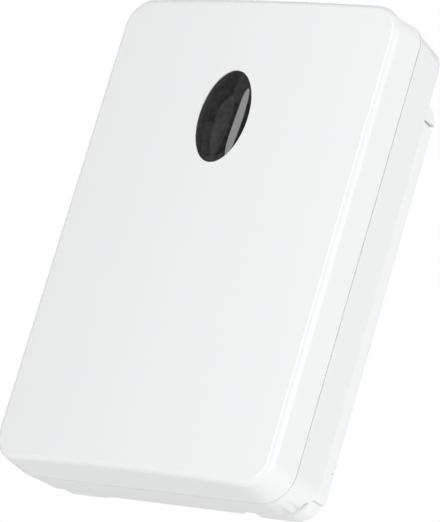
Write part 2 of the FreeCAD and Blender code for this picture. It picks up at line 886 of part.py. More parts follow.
def helix_path(radius_at, angle_at, axial_at, steps, place):
    """Chain of biarcs through a helix, whose joints share their tangents."""
    def point(step):
        t = step / steps
        radius = radius_at(t)
        angle = angle_at(t)
        return place(radius * math.cos(angle), radius * math.sin(angle), axial_at(t))

    def tangent(step):
        small = 1e-4
        return (point(step + small) - point(step - small)).normalize()

    edges = []
    for step in range(steps):
        edges.extend(biarc(point(step), tangent(step), point(step + 1), tangent(step + 1)))
    return edges


def biarc(start, start_dir, end, end_dir):
    """Two arcs that leave start and reach end along the given directions."""
    chord = end - start
    total = start_dir + end_dir
    a = 2 * (1 - start_dir.dot(end_dir))
    b = 2 * chord.dot(total)
    c = -chord.dot(chord)
    reach = (-b + math.sqrt(b * b - 4 * a * c)) / (2 * a) if abs(a) > 1e-9 else -c / b
    first = start + start_dir * reach
    second = end - end_dir * reach
    joint = (first + second) * 0.5
    return [tangent_arc(start, start_dir, joint), tangent_arc(joint, (second - first).normalize(), end)]


def tangent_arc(start, direction, end):
    """Arc from start along a direction to end, or a line where they agree."""
    chord = end - start
    along = chord.normalize() if chord.Length == 1 else V(chord).normalize()
    side = along - direction * along.dot(direction)
    if side.Length < 1e-7:
        return Part.LineSegment(start, end).toShape()
    bisector = (along + direction).normalize()
    half = math.acos(max(-1.0, min(1.0, along.dot(direction))))
    middle = start + bisector * (chord.Length / 2 / math.cos(half / 2))
    return Part.Arc(start, middle, end).toShape()


def wire_tube(edges, radius):
    """One unbroken round wire swept along a chain of lines and arcs."""
    path = Part.Wire(edges)
    start = edges[0].valueAt(edges[0].FirstParameter)
    direction = edges[0].tangentAt(edges[0].FirstParameter)
    profile = Part.Wire(Part.Circle(start, direction, radius).toShape())
    tube = Part.Wire(path).makePipeShell([profile], True, False)
    return tube if tube.ShapeType == "Solid" else tube.Solids[0]


def least_gap(edges, wire, apart):
    """Least distance between stretches of the wire that lie at least apart along it."""
    points = []
    along = 0.0
    for edge in edges:
        count = max(2, int(edge.Length / 0.3))
        for point in edge.discretize(count)[:-1]:
            points.append((along, point))
            along += edge.Length / (count - 1)
    least = min(
        (p - q).Length for i, (s, p) in enumerate(points) for t, q in points[i + 1:] if t - s > apart
    )
    return least - wire


def conical_spring(sx, z):
    """Battery spring that is wide at the contact plate and narrow at the cell."""
    base_x = sx * (contact_x - spring_wire / 2 - spring_seat_gap)
    length = spring_room - spring_wire - 2 * spring_seat_gap

    def place(u, v, w):
        return V(base_x - sx * w, cells_y + u, z + v)

    edges = helix_path(
        lambda t: spring_big_radius + (spring_small_radius - spring_big_radius) * t,
        lambda t: sx * 2 * math.pi * spring_turns * t,
        lambda t: length * t,
        spring_turns * 4,
        place,
    )
    gap = least_gap(edges, spring_wire, 2 * math.pi * spring_small_radius * 0.6)
    return wire_tube(edges, spring_wire / 2), gap


def antenna_coil():
    """Helical antenna along the board's top edge with two straight legs to the board."""
    length = antenna_pitch * antenna_turns
    centre_y = board_y - antenna_lift
    half = length / 2

    def place(u, v, w):
        return V(w - half, centre_y + u, antenna_z + v)

    edges = helix_path(
        lambda t: antenna_radius,
        lambda t: 2 * math.pi * antenna_turns * t + math.pi / 2,
        lambda t: length * t,
        antenna_turns * 4,
        place,
    )
    start = edges[0].valueAt(edges[0].FirstParameter)
    end = edges[-1].valueAt(edges[-1].LastParameter)
    start_dir = edges[0].tangentAt(edges[0].FirstParameter)
    end_dir = edges[-1].tangentAt(edges[-1].LastParameter)
    legs = antenna_legs(start, start_dir, end, end_dir)
    gap = least_gap(legs[0] + edges + legs[1], antenna_wire, antenna_radius * 4)
    return wire_tube(legs[0] + edges + legs[1], antenna_wire / 2), gap


def antenna_legs(start, start_dir, end, end_dir):
    """Straight legs, each with one bend, that stand the coil on the board."""
    legs = []
    for point, direction, sign in ((start, -start_dir, -1), (end, end_dir, 1)):
        foot = V(point.x + sign * antenna_radius, board_y, point.z)
        down = V(0, 1, 0)
        top = V(foot.x, board_y - antenna_wire, foot.z)
        arcs = biarc(point, direction, top, down)
        line = Part.LineSegment(top, foot).toShape()
        legs.append((arcs, line))
    first = [legs[0][1]] + legs[0][0][::-1]
    first = [reverse_edge(edge) for edge in first]
    return first, legs[1][0] + [legs[1][1]]


def reverse_edge(edge):
    """The same line or arc drawn from its other end."""
    start = edge.valueAt(edge.FirstParameter)
    end = edge.valueAt(edge.LastParameter)
    if edge.Curve.TypeId == "Part::GeomLine":
        return Part.LineSegment(end, start).toShape()
    middle = edge.valueAt((edge.FirstParameter + edge.LastParameter) / 2)
    return Part.Arc(end, middle, start).toShape()


def radio_board():
    """Small radio board that lies parallel to the main board on its pins."""
    y0 = board_y - radio_lift
    return rounded_block(radio_width, radio_height, 0.4, y0, y0 - radio_thickness, radio_x, radio_z)


def radio_pins():
    """Four square pins that carry the radio board."""
    pins = []
    places = []
    for index in range(4):
        places.append((radio_x + (index - 1.5) * radio_pin_pitch, radio_z - radio_height / 2 + radio_pin_inset))
    for sx in (-1, 1):
        places.append((
            radio_x + sx * (radio_width / 2 - radio_pin_inset), radio_z + radio_height / 2 - radio_pin_inset,
        ))
    half = radio_pin_side / 2
    for x, z in places:
        pins.append(block(x - half, x + half, board_y, board_y - radio_lift, z - half, z + half))
    return Part.makeCompound(pins)


def radio_can():
    """Metal can of the resonator with its rolled flange."""
    y0 = board_y - radio_lift - radio_thickness
    x = radio_x - radio_can_side
    z = radio_z + radio_can_up
    can = rod(radio_can_radius, y0, y0 - radio_can_height, x, z)
    can = can.makeFillet(0.5, edges_at(can, y0 - radio_can_height))
    flange = rod(radio_can_radius + radio_can_flange, y0, y0 - radio_can_height / 6, x, z)
    return can.fuse(flange).removeSplitter()


def main_chip():
    """Microcontroller in a package with leads along both long sides."""
    y0 = board_y - chip_lift
    body = block(
        chip_x - chip_width / 2, chip_x + chip_width / 2, y0, y0 - chip_height,
        chip_z - chip_length / 2, chip_z + chip_length / 2,
    )
    body = body.makeChamfer(0.25, edges_at(body, y0 - chip_height))
    mark = rod(0.5, y0 - chip_height + 0.15, y0 - chip_height - 1,
               chip_x - chip_width / 2 + 1.2, chip_z + chip_length / 2 - 1.2)
    return body.cut(mark)


def chip_leads_group():
    """Bent leads of the microcontroller."""
    leads = []
    for sx in (-1, 1):
        x = chip_x + sx * chip_width / 2
        for index in range(chip_leads):
            z = chip_z + (index - (chip_leads - 1) / 2) * chip_lead_pitch
            middle_y = board_y - chip_lift - chip_height / 2
            half = chip_lead_thickness / 2
            bend = chip_lead_reach * 0.45
            points = [
                (0, middle_y - half), (bend, middle_y - half),
                (bend + chip_lead_thickness, board_y - chip_lead_thickness),
                (chip_lead_reach, board_y - chip_lead_thickness), (chip_lead_reach, board_y),
                (bend, board_y), (bend - chip_lead_thickness, middle_y + half), (0, middle_y + half),
            ]
            wire = Part.makePolygon(
                [V(x + sx * u, y, z - chip_lead_width / 2) for u, y in points + points[:1]]
            )
            leads.append(Part.Face(wire).extrude(V(0, 0, chip_lead_width)))
    return Part.makeCompound(leads)


def capacitor():
    """Electrolytic capacitor that lies along the board."""
    y = board_y - capacitor_radius
    start = V(capacitor_x - capacitor_length / 2, y, capacitor_z)
    can = Part.makeCylinder(capacitor_radius, capacitor_length, start, V(1, 0, 0))
    groove = Part.makeTorus(
        capacitor_radius * 1.14, capacitor_radius * 0.24, start + V(capacitor_length / 6, 0, 0), V(1, 0, 0),
    )
    return can.cut(groove)


def crystal():
    """Quartz crystal in its flat metal can."""
    base = rounded_block(
        crystal_length, crystal_width, crystal_width / 2, board_y, board_y - crystal_base, crystal_x, crystal_z,
    )
    can = rounded_block(
        crystal_length - 2 * crystal_step, crystal_width - 2 * crystal_step, crystal_width / 2 - crystal_step,
        board_y, board_y - crystal_height, crystal_x, crystal_z,
    )
    can = can.makeFillet(crystal_base, edges_at(can, board_y - crystal_height))
    return base.fuse(can).removeSplitter()


def chip_parts():
    """Small resistors and capacitors soldered flat on the board."""
    chip_side = chip_width / 2 + chip_part_gap
    radio_foot = radio_z - radio_height / 2 - chip_part_gap
    places = []
    for index in range(3):
        step = (index - 1) * chip_part_pitch
        places.append((chip_x - chip_side, chip_z + step))
        places.append((chip_x + chip_side, chip_z + step + chip_part_pitch))
        places.append((radio_x + 2 * step, radio_foot))
        places.append((step, board_top - antenna_edge_gap * 2))
    parts = []
    for x, z in places:
        parts.append(block(
            x - chip_part_length / 2, x + chip_part_length / 2, board_y, board_y - chip_part_height,
            z - chip_part_width / 2, z + chip_part_width / 2,
        ))
    return Part.makeCompound(parts)


def battery(z, sx):
    """Round cell along X, with its raised end towards sx."""
    radius = cell_dia / 2
    nub_x = cell_length - cell_nub_length
    points = [
        V(0, 0, 0), V(0, radius * 0.72, 0), V(0.25, radius * 0.78, 0), V(0.25, radius - cell_edge, 0),
        V(cell_edge + 0.25, radius, 0), V(nub_x - cell_edge, radius, 0), V(nub_x, radius - cell_edge, 0),
        V(nub_x - 0.25, radius - 2 * cell_edge, 0), V(nub_x - 0.25, cell_nub_radius, 0),
        V(cell_length, cell_nub_radius, 0), V(cell_length, 0, 0), V(0, 0, 0),
    ]
    body = Part.Face(Part.makePolygon(points)).revolve(V(0, 0, 0), V(1, 0, 0), 360)
    body = body if body.ShapeType == "Solid" else Part.Solid(body.Shells[0])
    if body.Volume < 0:
        body.reverse()
    if sx < 0:
        body.rotate(V(0, 0, 0), V(0, 0, 1), 180)
    body.translate(V(sx * (contact_x - cell_length), cells_y, z))
    return body


def battery_holder():
    """Tray for the two cells with end walls that carry the contacts."""
    floor_front = floor_y - holder_floor
    side_front = floor_front - holder_side_height
    end_front = cells_y - contact_width / 2 - 0.8
    outer_x = holder_x + holder_wall
    tray = block(-outer_x, outer_x, floor_y, end_front, holder_bottom, holder_top)
    room = block(
        -holder_x, holder_x, floor_front, end_front - 1, holder_bottom + holder_wall, holder_top - holder_wall,
    )
    low_side = block(-contact_x + 6, contact_x - 6, side_front, end_front - 1, holder_bottom - 1, holder_top + 1)
    tray = tray.cut([room, low_side])
    adds = []
    mid = holder_mid
    adds.append(block(
        -contact_x, contact_x, floor_y, floor_front - holder_rib_height,
        mid - holder_rib / 2, mid + holder_rib / 2,
    ))
    cuts = []
    for sx in (-1, 1):
        room_radius = screw_head_radius + 0.3
        cuts.append(rod(room_radius, floor_front, end_front - 1, sx * holder_screw_x, mid))
        cuts.append(rod(screw_radius + screw_clearance, floor_y + 1, floor_front - 1, sx * holder_screw_x, mid))
    cuts.append(block(
        -outer_x - 1, -contact_x, board_y - contact_tab_width - contact_slot_gap, board_y + contact_slot_gap,
        positive_foot_z() - contact_slot_gap, holder_top + 1,
    ))
    return tray.fuse(adds).cut(cuts).removeSplitter()


def contact_sheet(sx, z0, z1):
    """Flat contact against one end wall, from height z0 to z1."""
    x0, x1 = sorted((sx * contact_x, sx * holder_x))
    return block(x0, x1, cells_y - contact_width / 2, cells_y + contact_width / 2, z0, z1)


def positive_foot_z():
    """Height at which the lower contact steps outwards to its tab."""
    return lower_cell_z + contact_width / 2 - contact_thickness


def contact_tab(x0, z0):
    """Narrow strip at the left end that leads up to the board and is soldered there."""
    return block(
        x0, x0 + contact_thickness, board_y, board_y - contact_tab_width, z0, board_bottom + contact_tab_rise,
    )


def negative_contact():
    """Left contact of the upper cell with its tab to the board."""
    half = contact_width / 2
    sheet = contact_sheet(-1, upper_cell_z - half, upper_cell_z + half)
    return sheet.fuse(contact_tab(-holder_x, upper_cell_z)).removeSplitter()


def positive_contact():
    """Left contact of the lower cell, whose tab passes outside the upper contact."""
    half = contact_width / 2
    sheet = contact_sheet(-1, lower_cell_z - half, lower_cell_z + half)
    tab_x = -(holder_x + contact_tab_gap + contact_thickness)
    foot = block(
        tab_x, -contact_x, board_y, board_y - contact_tab_width,
        positive_foot_z(), positive_foot_z() + contact_thickness,
    )
    return sheet.fuse([foot, contact_tab(tab_x, positive_foot_z())]).removeSplitter()


def bridge_contact():
    """Right contact that joins the two cells."""
    half = contact_width / 2
    return contact_sheet(1, lower_cell_z - half, upper_cell_z + half)


def write(name, shape):
    """Save one sub-part and report its size."""
    shape.exportStep("parts/" + name + ".step")
    print(name, "solids", len(shape.Solids), "volume", round(shape.Volume, 1), "valid", shape.isValid())


def main():
    os.makedirs("parts", exist_ok=True)
    upper_spring, upper_gap = conical_spring(-1, upper_cell_z)
    lower_spring, lower_gap = conical_spring(1, lower_cell_z)
    antenna, antenna_gap = antenna_coil()
    shapes = {
        "front_cover": front_cover(),
        "window_lens": window_lens(),
        "window_tape": window_tape_ring(),
        "rear_housing": rear_housing(),
        "case_seal": case_seal(),
        "wall_plate": wall_plate(),
        "circuit_board": circuit_board(),
        "board_screws": board_screws(),
        "holder_screws": holder_screws(),
        "panel_screws": panel_screws(),
        "control_panel": control_panel(),
        "lux_dial": dial(-1),
        "time_dial": dial(1),
        "lux_potentiometer": control_body(-1, pot_side, pot_height),
        "time_switch": control_body(1, switch_side, switch_height),
        "on_button": button_cap(-1),
        "off_button": button_cap(1),
        "on_switch": tact_body(-1),
        "off_switch": tact_body(1),
        "on_plunger": tact_plunger(-1),
        "off_plunger": tact_plunger(1),
        "light_shroud": light_shroud(),
        "light_cell": light_cell(),
        "status_lamp": status_lamp(),
        "antenna_coil": antenna,
        "radio_board": radio_board(),
        "radio_pins": radio_pins(),
        "radio_can": radio_can(),
        "main_chip": main_chip(),
        "chip_leads": chip_leads_group(),
        "capacitor": capacitor(),
        "crystal": crystal(),
        "chip_parts": chip_parts(),
        "battery_holder": battery_holder(),
        "upper_battery": battery(upper_cell_z, 1),
        "lower_battery": battery(lower_cell_z, -1),
        "upper_spring": upper_spring,
        "lower_spring": lower_spring,
        "negative_contact": negative_contact(),
        "positive_contact": positive_contact(),
        "bridge_contact": bridge_contact(),
    }
    for name, shape in shapes.items():
        write(name, shape)
    print("least gap of the wire to itself, springs", round(upper_gap, 2), round(lower_gap, 2))
    print("least gap of the wire to itself, antenna", round(antenna_gap, 2))


if __name__ == "__main__":
    main()
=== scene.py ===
"""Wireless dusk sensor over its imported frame: case, window, inner parts, finishes, light and camera."""

import json
import logging
import math
from contextlib import contextmanager
from dataclasses import dataclass, field, replace
from enum import Enum
from typing import Callable, Dict, Iterator, List, Optional, Sequence, Tuple, Union

import bmesh
import bpy
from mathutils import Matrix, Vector

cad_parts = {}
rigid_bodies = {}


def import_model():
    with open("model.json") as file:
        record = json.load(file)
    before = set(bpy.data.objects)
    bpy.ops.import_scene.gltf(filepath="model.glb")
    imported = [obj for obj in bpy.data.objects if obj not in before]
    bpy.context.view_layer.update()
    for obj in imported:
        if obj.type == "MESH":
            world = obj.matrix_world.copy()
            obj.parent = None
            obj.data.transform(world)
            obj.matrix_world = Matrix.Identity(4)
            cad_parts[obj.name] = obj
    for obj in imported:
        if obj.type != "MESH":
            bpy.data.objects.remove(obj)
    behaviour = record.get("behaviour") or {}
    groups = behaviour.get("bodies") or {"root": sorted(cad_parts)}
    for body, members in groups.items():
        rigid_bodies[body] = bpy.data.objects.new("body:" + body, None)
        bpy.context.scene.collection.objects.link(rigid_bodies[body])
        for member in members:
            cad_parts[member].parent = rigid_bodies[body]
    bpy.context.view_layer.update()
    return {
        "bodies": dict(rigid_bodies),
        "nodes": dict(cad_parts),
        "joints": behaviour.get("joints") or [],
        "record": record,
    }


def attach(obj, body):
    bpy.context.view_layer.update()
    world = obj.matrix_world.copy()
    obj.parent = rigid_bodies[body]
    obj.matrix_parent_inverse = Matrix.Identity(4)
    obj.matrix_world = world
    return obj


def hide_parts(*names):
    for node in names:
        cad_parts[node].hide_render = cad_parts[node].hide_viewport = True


log = logging.getLogger("dusk_sensor")

MM = 0.001
WELD = 0.002 * MM
SMOOTH = 35.0
COPY_SMOOTH = 32.0
PRINT_THICKNESS = 0.04
RIM_EASE = 0.15
QUARTER = math.radians(90)
Pair = Tuple[float, float]
Triple = Tuple[float, float, float]
Four = Tuple[float, float, float, float]
Colour = Triple
Piece = bpy.types.Object
Test = Callable[[Vector], bool]


class Body(str, Enum):
    """Rigid bodies of the sensor, as the frame names them."""

    PLATE = "plate"
    SENSOR = "sensor"
    COVER = "cover"
    LUX_DIAL = "lux_dial"
    TIME_DIAL = "time_dial"
    ON_BUTTON = "on_button"
    OFF_BUTTON = "off_button"


class Pick(str, Enum):
    """Kinds of mesh element that are selected in edit mode."""

    POINTS = "VERT"
    EDGES = "EDGE"
    FACES = "FACE"


def only(piece: Piece) -> None:
    """Leaves one piece selected and active.

    Args:
        piece: the piece.
    """
    bpy.ops.object.select_all(action="DESELECT")
    piece.select_set(True)
    bpy.context.view_layer.objects.active = piece


@contextmanager
def editing(piece: Piece) -> Iterator[None]:
    """Opens a piece in edit mode with nothing selected, and closes it again.

    Args:
        piece: the piece to edit.
    """
    only(piece)
    bpy.ops.object.mode_set(mode="EDIT")
    bpy.ops.mesh.select_all(action="DESELECT")
    yield
    bpy.ops.object.mode_set(mode="OBJECT")


def pick(piece: Piece, kind: Pick, test: Test, middle: Optional[Test] = None) -> int:
    """Selects the elements whose points all pass a test, in edit mode.

    Args:
        piece: the piece that is open in edit mode.
        kind: points, edges or faces.
        test: takes a point in millimetres.
        middle: a further test, for the middle of an edge or face.

    Returns:
        How many elements are selected.
    """
    bpy.ops.mesh.select_mode(type=kind.value)
    bpy.ops.mesh.select_all(action="DESELECT")
    shape = bmesh.from_edit_mesh(piece.data)
    inside = {point.index: test(point.co / MM) for point in shape.verts}
    count = 0
    if kind is Pick.POINTS:
        for point in shape.verts:
            point.select_set(inside[point.index])
            count += inside[point.index]
    else:
        for item in shape.edges if kind is Pick.EDGES else shape.faces:
            chosen = all(inside[point.index] for point in item.verts)
            if chosen and middle:
                chosen = middle(sum((point.co for point in item.verts), Vector()) / len(item.verts) / MM)
            if chosen:
                item.select_set(True)
            count += chosen
    bmesh.update_edit_mesh(piece.data)
    return count


def divide(place: Triple, way: Triple) -> None:
    """Divides the open mesh along the plane through a place in millimetres that faces a way."""
    bpy.ops.mesh.select_all(action="SELECT")
    bpy.ops.mesh.bisect(plane_co=[value * MM for value in place], plane_no=way, threshold=0.00001)


def near(value: float, goal: float, slack: float = 0.02) -> bool:
    """Tells whether two lengths in millimetres agree."""
    return abs(value - goal) <= slack


def mirrored(side: int, inner: float, outer: float) -> Pair:
    """Returns two limits across for one side, 1 for the right and -1 for the left, in order."""
    low, high = sorted((side * inner, side * outer))
    return low, high


def grown(half: Pair, width: float) -> Pair:
    """Returns an oval's half sizes with a width added all round."""
    return half[0] + width, half[1] + width


def at(depth: float, slack: float = 0.004) -> Test:
    """Returns the test for points at a depth in millimetres."""
    return lambda place: near(place.y, depth, slack)


def joined(pieces: Sequence[Piece], name: str) -> Piece:
    """Joins meshes into one piece.

    Args:
        pieces: the meshes, the first of which stays.
        name: the name of the result.

    Returns:
        The joined piece.
    """
    only(pieces[0])
    for piece in pieces:
        piece.select_set(True)
    if len(pieces) > 1:
        bpy.ops.object.join()
    result = bpy.context.view_layer.objects.active
    result.name = name
    result.data.name = name
    return result


def applied(piece: Piece, kind: str, **settings: object) -> None:
    """Adds a modifier to a piece and applies it.

    Args:
        piece: the piece to change.
        kind: the modifier's type.
        settings: the modifier's values.
    """
    only(piece)
    modifier = piece.modifiers.new(kind.lower(), kind)
    for key, value in settings.items():
        setattr(modifier, key, value)
    bpy.ops.object.modifier_apply(modifier=modifier.name)


def carved(piece: Piece, *cutters: Piece, operation: str = "DIFFERENCE") -> Piece:
    """Cuts shapes out of a piece, or unites them with it, and removes them.

    Args:
        piece: the piece to change.
        cutters: the shapes to take away or to add.
        operation: "DIFFERENCE" or "UNION".

    Returns:
        The same piece.
    """
    for cutter in cutters:
        applied(piece, "BOOLEAN", object=cutter, operation=operation, solver="EXACT")
        bpy.data.objects.remove(cutter)
    return piece


def shaded(piece: Piece, angle: float = SMOOTH, weighted: bool = True) -> Piece:
    """Shades a piece smooth up to an angle, with normals led by its large faces.

    Args:
        piece: the piece to shade.
        angle: the largest smooth angle between faces, in degrees.
        weighted: whether the larger faces lead the normals.

    Returns:
        The same piece.
    """
    only(piece)
    bpy.ops.object.shade_smooth_by_angle(angle=math.radians(angle))
    if weighted:
        applied(piece, "WEIGHTED_NORMAL", keep_sharp=True, mode="FACE_AREA", weight=60)
    return piece


def smoothed_copy(node: Piece, name: str) -> Piece:
    """Copies a node of the frame, welds its loose triangles and shades it smooth.

    Args:
        node: the node to copy.
        name: the name of the copy.

    Returns:
        The copy.
    """
    mesh = node.data.copy()
    mesh.name = name
    mesh.materials.clear()
    copy = bpy.data.objects.new(name, mesh)
    bpy.context.scene.collection.objects.link(copy)
    with editing(copy):
        bpy.ops.mesh.select_all(action="SELECT")
        bpy.ops.mesh.remove_doubles(threshold=WELD)
        bpy.ops.mesh.customdata_custom_splitnormals_clear()
        bpy.ops.mesh.dissolve_limited(angle_limit=math.radians(0.4))
    return shaded(copy, COPY_SMOOTH)


@dataclass
class Wiring:
    """Shader node tree that is written node by node."""

    tree: bpy.types.NodeTree

    def add(self, kind: str, inputs: Optional[Dict[Union[str, int], object]] = None,
            **values: object) -> bpy.types.Node:
        """Adds a node, sets its values and feeds its inputs.

        Args:
            kind: the node's type, after "ShaderNode".
            inputs: for each input, by name or number, its value or the socket that feeds it.
            values: the node's own settings.

        Returns:
            The node.
        """
        node = self.tree.nodes.new("ShaderNode" + kind)
        for key, value in values.items():
            setattr(node, key, value)
        self.feed(node, inputs or {})
        return node

    def feed(self, node: bpy.types.Node, inputs: Dict[Union[str, int], object]) -> None:
        """Sets or links some inputs of a node.

        Args:
            node: the node.
            inputs: for each input, its value or the socket that feeds it.
        """
        for key, value in inputs.items():
            if isinstance(value, bpy.types.NodeSocket):
                self.tree.links.new(value, node.inputs[key])
            else:
                node.inputs[key].default_value = value

    def math(self, operation: str, *inputs: object) -> bpy.types.NodeSocket:
        """Adds a maths node and returns its result."""
        return self.add("Math", dict(enumerate(inputs)), operation=operation).outputs[0]

    def blend(self, share: bpy.types.NodeSocket, first: Colour, second: Colour) -> bpy.types.NodeSocket:
        """Blends two colours. A Mix node has them in its inputs 6 and 7, and the result in output 2.

        Args:
            share: how much of the second colour shows.
            first: the colour at 0.
            second: the colour at 1.

        Returns:
            The blended colour.
        """
        mix = self.add("Mix", {0: share, 6: (*first, 1.0), 7: (*second, 1.0)}, data_type="RGBA")
        return mix.outputs[2]


@dataclass(frozen=True)
class Finish:
    """Moulded plastic: a colour with fine grain, faint mottling and a gloss."""

    name: str
    colour: Colour
    roughness: float = 0.3
    mottle: float = 0.02
    grain: float = 0.01
    grain_size: float = 0.35
    coat: float = 0.0
    metallic: float = 0.0
    coat_roughness: float = 0.06

    def build(self) -> bpy.types.Material:
        """Builds the material.

        Returns:
            The material.
        """
        material, wiring, shader = blank_material(self.name)
        surface = wiring.add("Group", {
            "Colour": (*self.colour, 1.0), "Mottle": self.mottle, "Grain size": self.grain_size,
            "Roughness": self.roughness}, node_tree=moulded_surface())
        bump = wiring.add("Bump", {"Strength": 1.0, "Distance": self.grain * MM,
                                   "Height": surface.outputs["Height"]})
        wiring.feed(shader, {
            "Metallic": self.metallic, "Coat Weight": self.coat, "Coat Roughness": self.coat_roughness,
            "Base Color": surface.outputs["Colour"], "Roughness": surface.outputs["Roughness"],
            "Normal": bump.outputs["Normal"]})
        self.pattern(wiring, shader, surface)
        return material

    def pattern(self, wiring: Wiring, shader: bpy.types.Node, surface: bpy.types.Node) -> None:
        """Adds what sets a finish apart, which is nothing for plain plastic."""


def blank_material(name: str) -> Tuple[bpy.types.Material, Wiring, bpy.types.Node]:
    """Makes a node material with one shader on its output.

    Args:
        name: the material's name.

    Returns:
        The material, its wiring and its shader.
    """
    material = bpy.data.materials.new(name)
    material.use_nodes = True
    wiring = Wiring(material.node_tree)
    wiring.tree.nodes.clear()
    output = wiring.add("OutputMaterial")
    shader = wiring.add("BsdfPrincipled")
    wiring.feed(output, {"Surface": shader.outputs["BSDF"]})
    return material, wiring, shader


def moulded_surface() -> bpy.types.NodeTree:
    """Shared look of moulded surfaces: mottled colour, uneven gloss and fine grain.

    Returns:
        The node group, built once.
    """
    name = "moulded_surface"
    if name in bpy.data.node_groups:
        return bpy.data.node_groups[name]
    tree = bpy.data.node_groups.new(name, "ShaderNodeTree")
    number, colour = "NodeSocketFloat", "NodeSocketColor"
    for key, kind, value in (("Colour", colour, (0.8, 0.8, 0.8, 1.0)), ("Mottle", number, 0.02),
                             ("Grain size", number, 0.35), ("Roughness", number, 0.3)):
        tree.interface.new_socket(name=key, in_out="INPUT", socket_type=kind).default_value = value
    for key, kind in (("Colour", colour), ("Roughness", number), ("Height", number)):
        tree.interface.new_socket(name=key, in_out="OUTPUT", socket_type=kind)
    source, result = tree.nodes.new("NodeGroupInput").outputs, tree.nodes.new("NodeGroupOutput")
    wiring = Wiring(tree)
    place = wiring.add("TexCoord").outputs["Object"]
    broad = wiring.add("TexNoise", {"Vector": place, "Scale": 90.0, "Detail": 3.0})
    shift = wiring.math("SUBTRACT", broad.outputs["Fac"], 0.5)
    spread = wiring.math("MULTIPLY_ADD", shift, source["Mottle"], 1.0)
    tint = wiring.add("HueSaturation", {"Color": source["Colour"], "Value": spread})
    uneven = wiring.math("MULTIPLY_ADD", shift, 0.25, 1.0)
    gloss = wiring.math("MULTIPLY", source["Roughness"], uneven)
    pitch = wiring.math("DIVIDE", 1.0 / MM, source["Grain size"])
    fine = wiring.add("TexNoise", {"Vector": place, "Scale": pitch, "Detail": 2.0})
    wiring.feed(result, {"Colour": tint.outputs["Color"], "Roughness": gloss, "Height": fine.outputs["Fac"]})
    return tree


@dataclass(frozen=True)
class CellSleeve(Finish):
    """Printed sleeve of a round cell: dark, with a copper coloured band at its raised end.

    Attributes:
        side: 1 if the raised end points to the right, -1 if to the left.
        band: how far across from the case's middle the band starts, in millimetres.
        band_colour: the band's colour.
    """

    side: int = 1
    band: float = 9.5
    band_colour: Colour = (0.55, 0.2, 0.06)

    def pattern(self, wiring: Wiring, shader: bpy.types.Node, surface: bpy.types.Node) -> None:
        """Colours the band.

        Args:
            wiring: the material's wiring.
            shader: its shader, not used here.
            surface: its surface group.
        """
        place = wiring.add("SeparateXYZ", {0: wiring.add("TexCoord").outputs["Object"]})
        outward = wiring.math("MULTIPLY", place.outputs["X"], self.side)
        beyond = wiring.math("GREATER_THAN", outward, self.band * MM)
        wiring.feed(surface, {"Colour": wiring.blend(beyond, self.colour, self.band_colour)})


@dataclass(frozen=True)
class SmokedWindow(Finish):
    """Dark polished window with a pebbled inner face, whose colour carries painted light: it turns lighter
    between the pebbles, where they break up light.

    Attributes:
        pebble: the size of a pebble in millimetres.
        spread: the distances from a pebble's middle, in pebbles, over which the painted light rises.
        painted_light_colour: the brightest painted light colour between the pebbles.
        reflection: how strongly the face reflects.
    """

    pebble: float = 1.1
    spread: Pair = (0.15, 0.7)
    painted_light_colour: Colour = (0.016, 0.0163, 0.017)
    reflection: float = 0.45

    def pattern(self, wiring: Wiring, shader: bpy.types.Node, surface: bpy.types.Node) -> None:
        """Paints light into the colour between the pebbles and sets the reflection.

        Args:
            wiring: the material's wiring.
            shader: its shader.
            surface: its surface group.
        """
        # painted light: the colour rises from the dark base to a lighter shade between the pebbles, standing
        # in for light that they break up
        cells = wiring.add("TexVoronoi", {"Vector": wiring.add("TexCoord").outputs["Object"],
                                          "Scale": 1.0 / (self.pebble * MM)}, feature="SMOOTH_F1")
        level = wiring.add("MapRange", {"Value": cells.outputs["Distance"], "From Min": self.spread[0],
                                        "From Max": self.spread[1]})
        wiring.feed(surface, {"Colour": wiring.blend(level.outputs["Result"], self.colour, self.painted_light_colour)})
        wiring.feed(shader, {"Specular IOR Level": self.reflection})


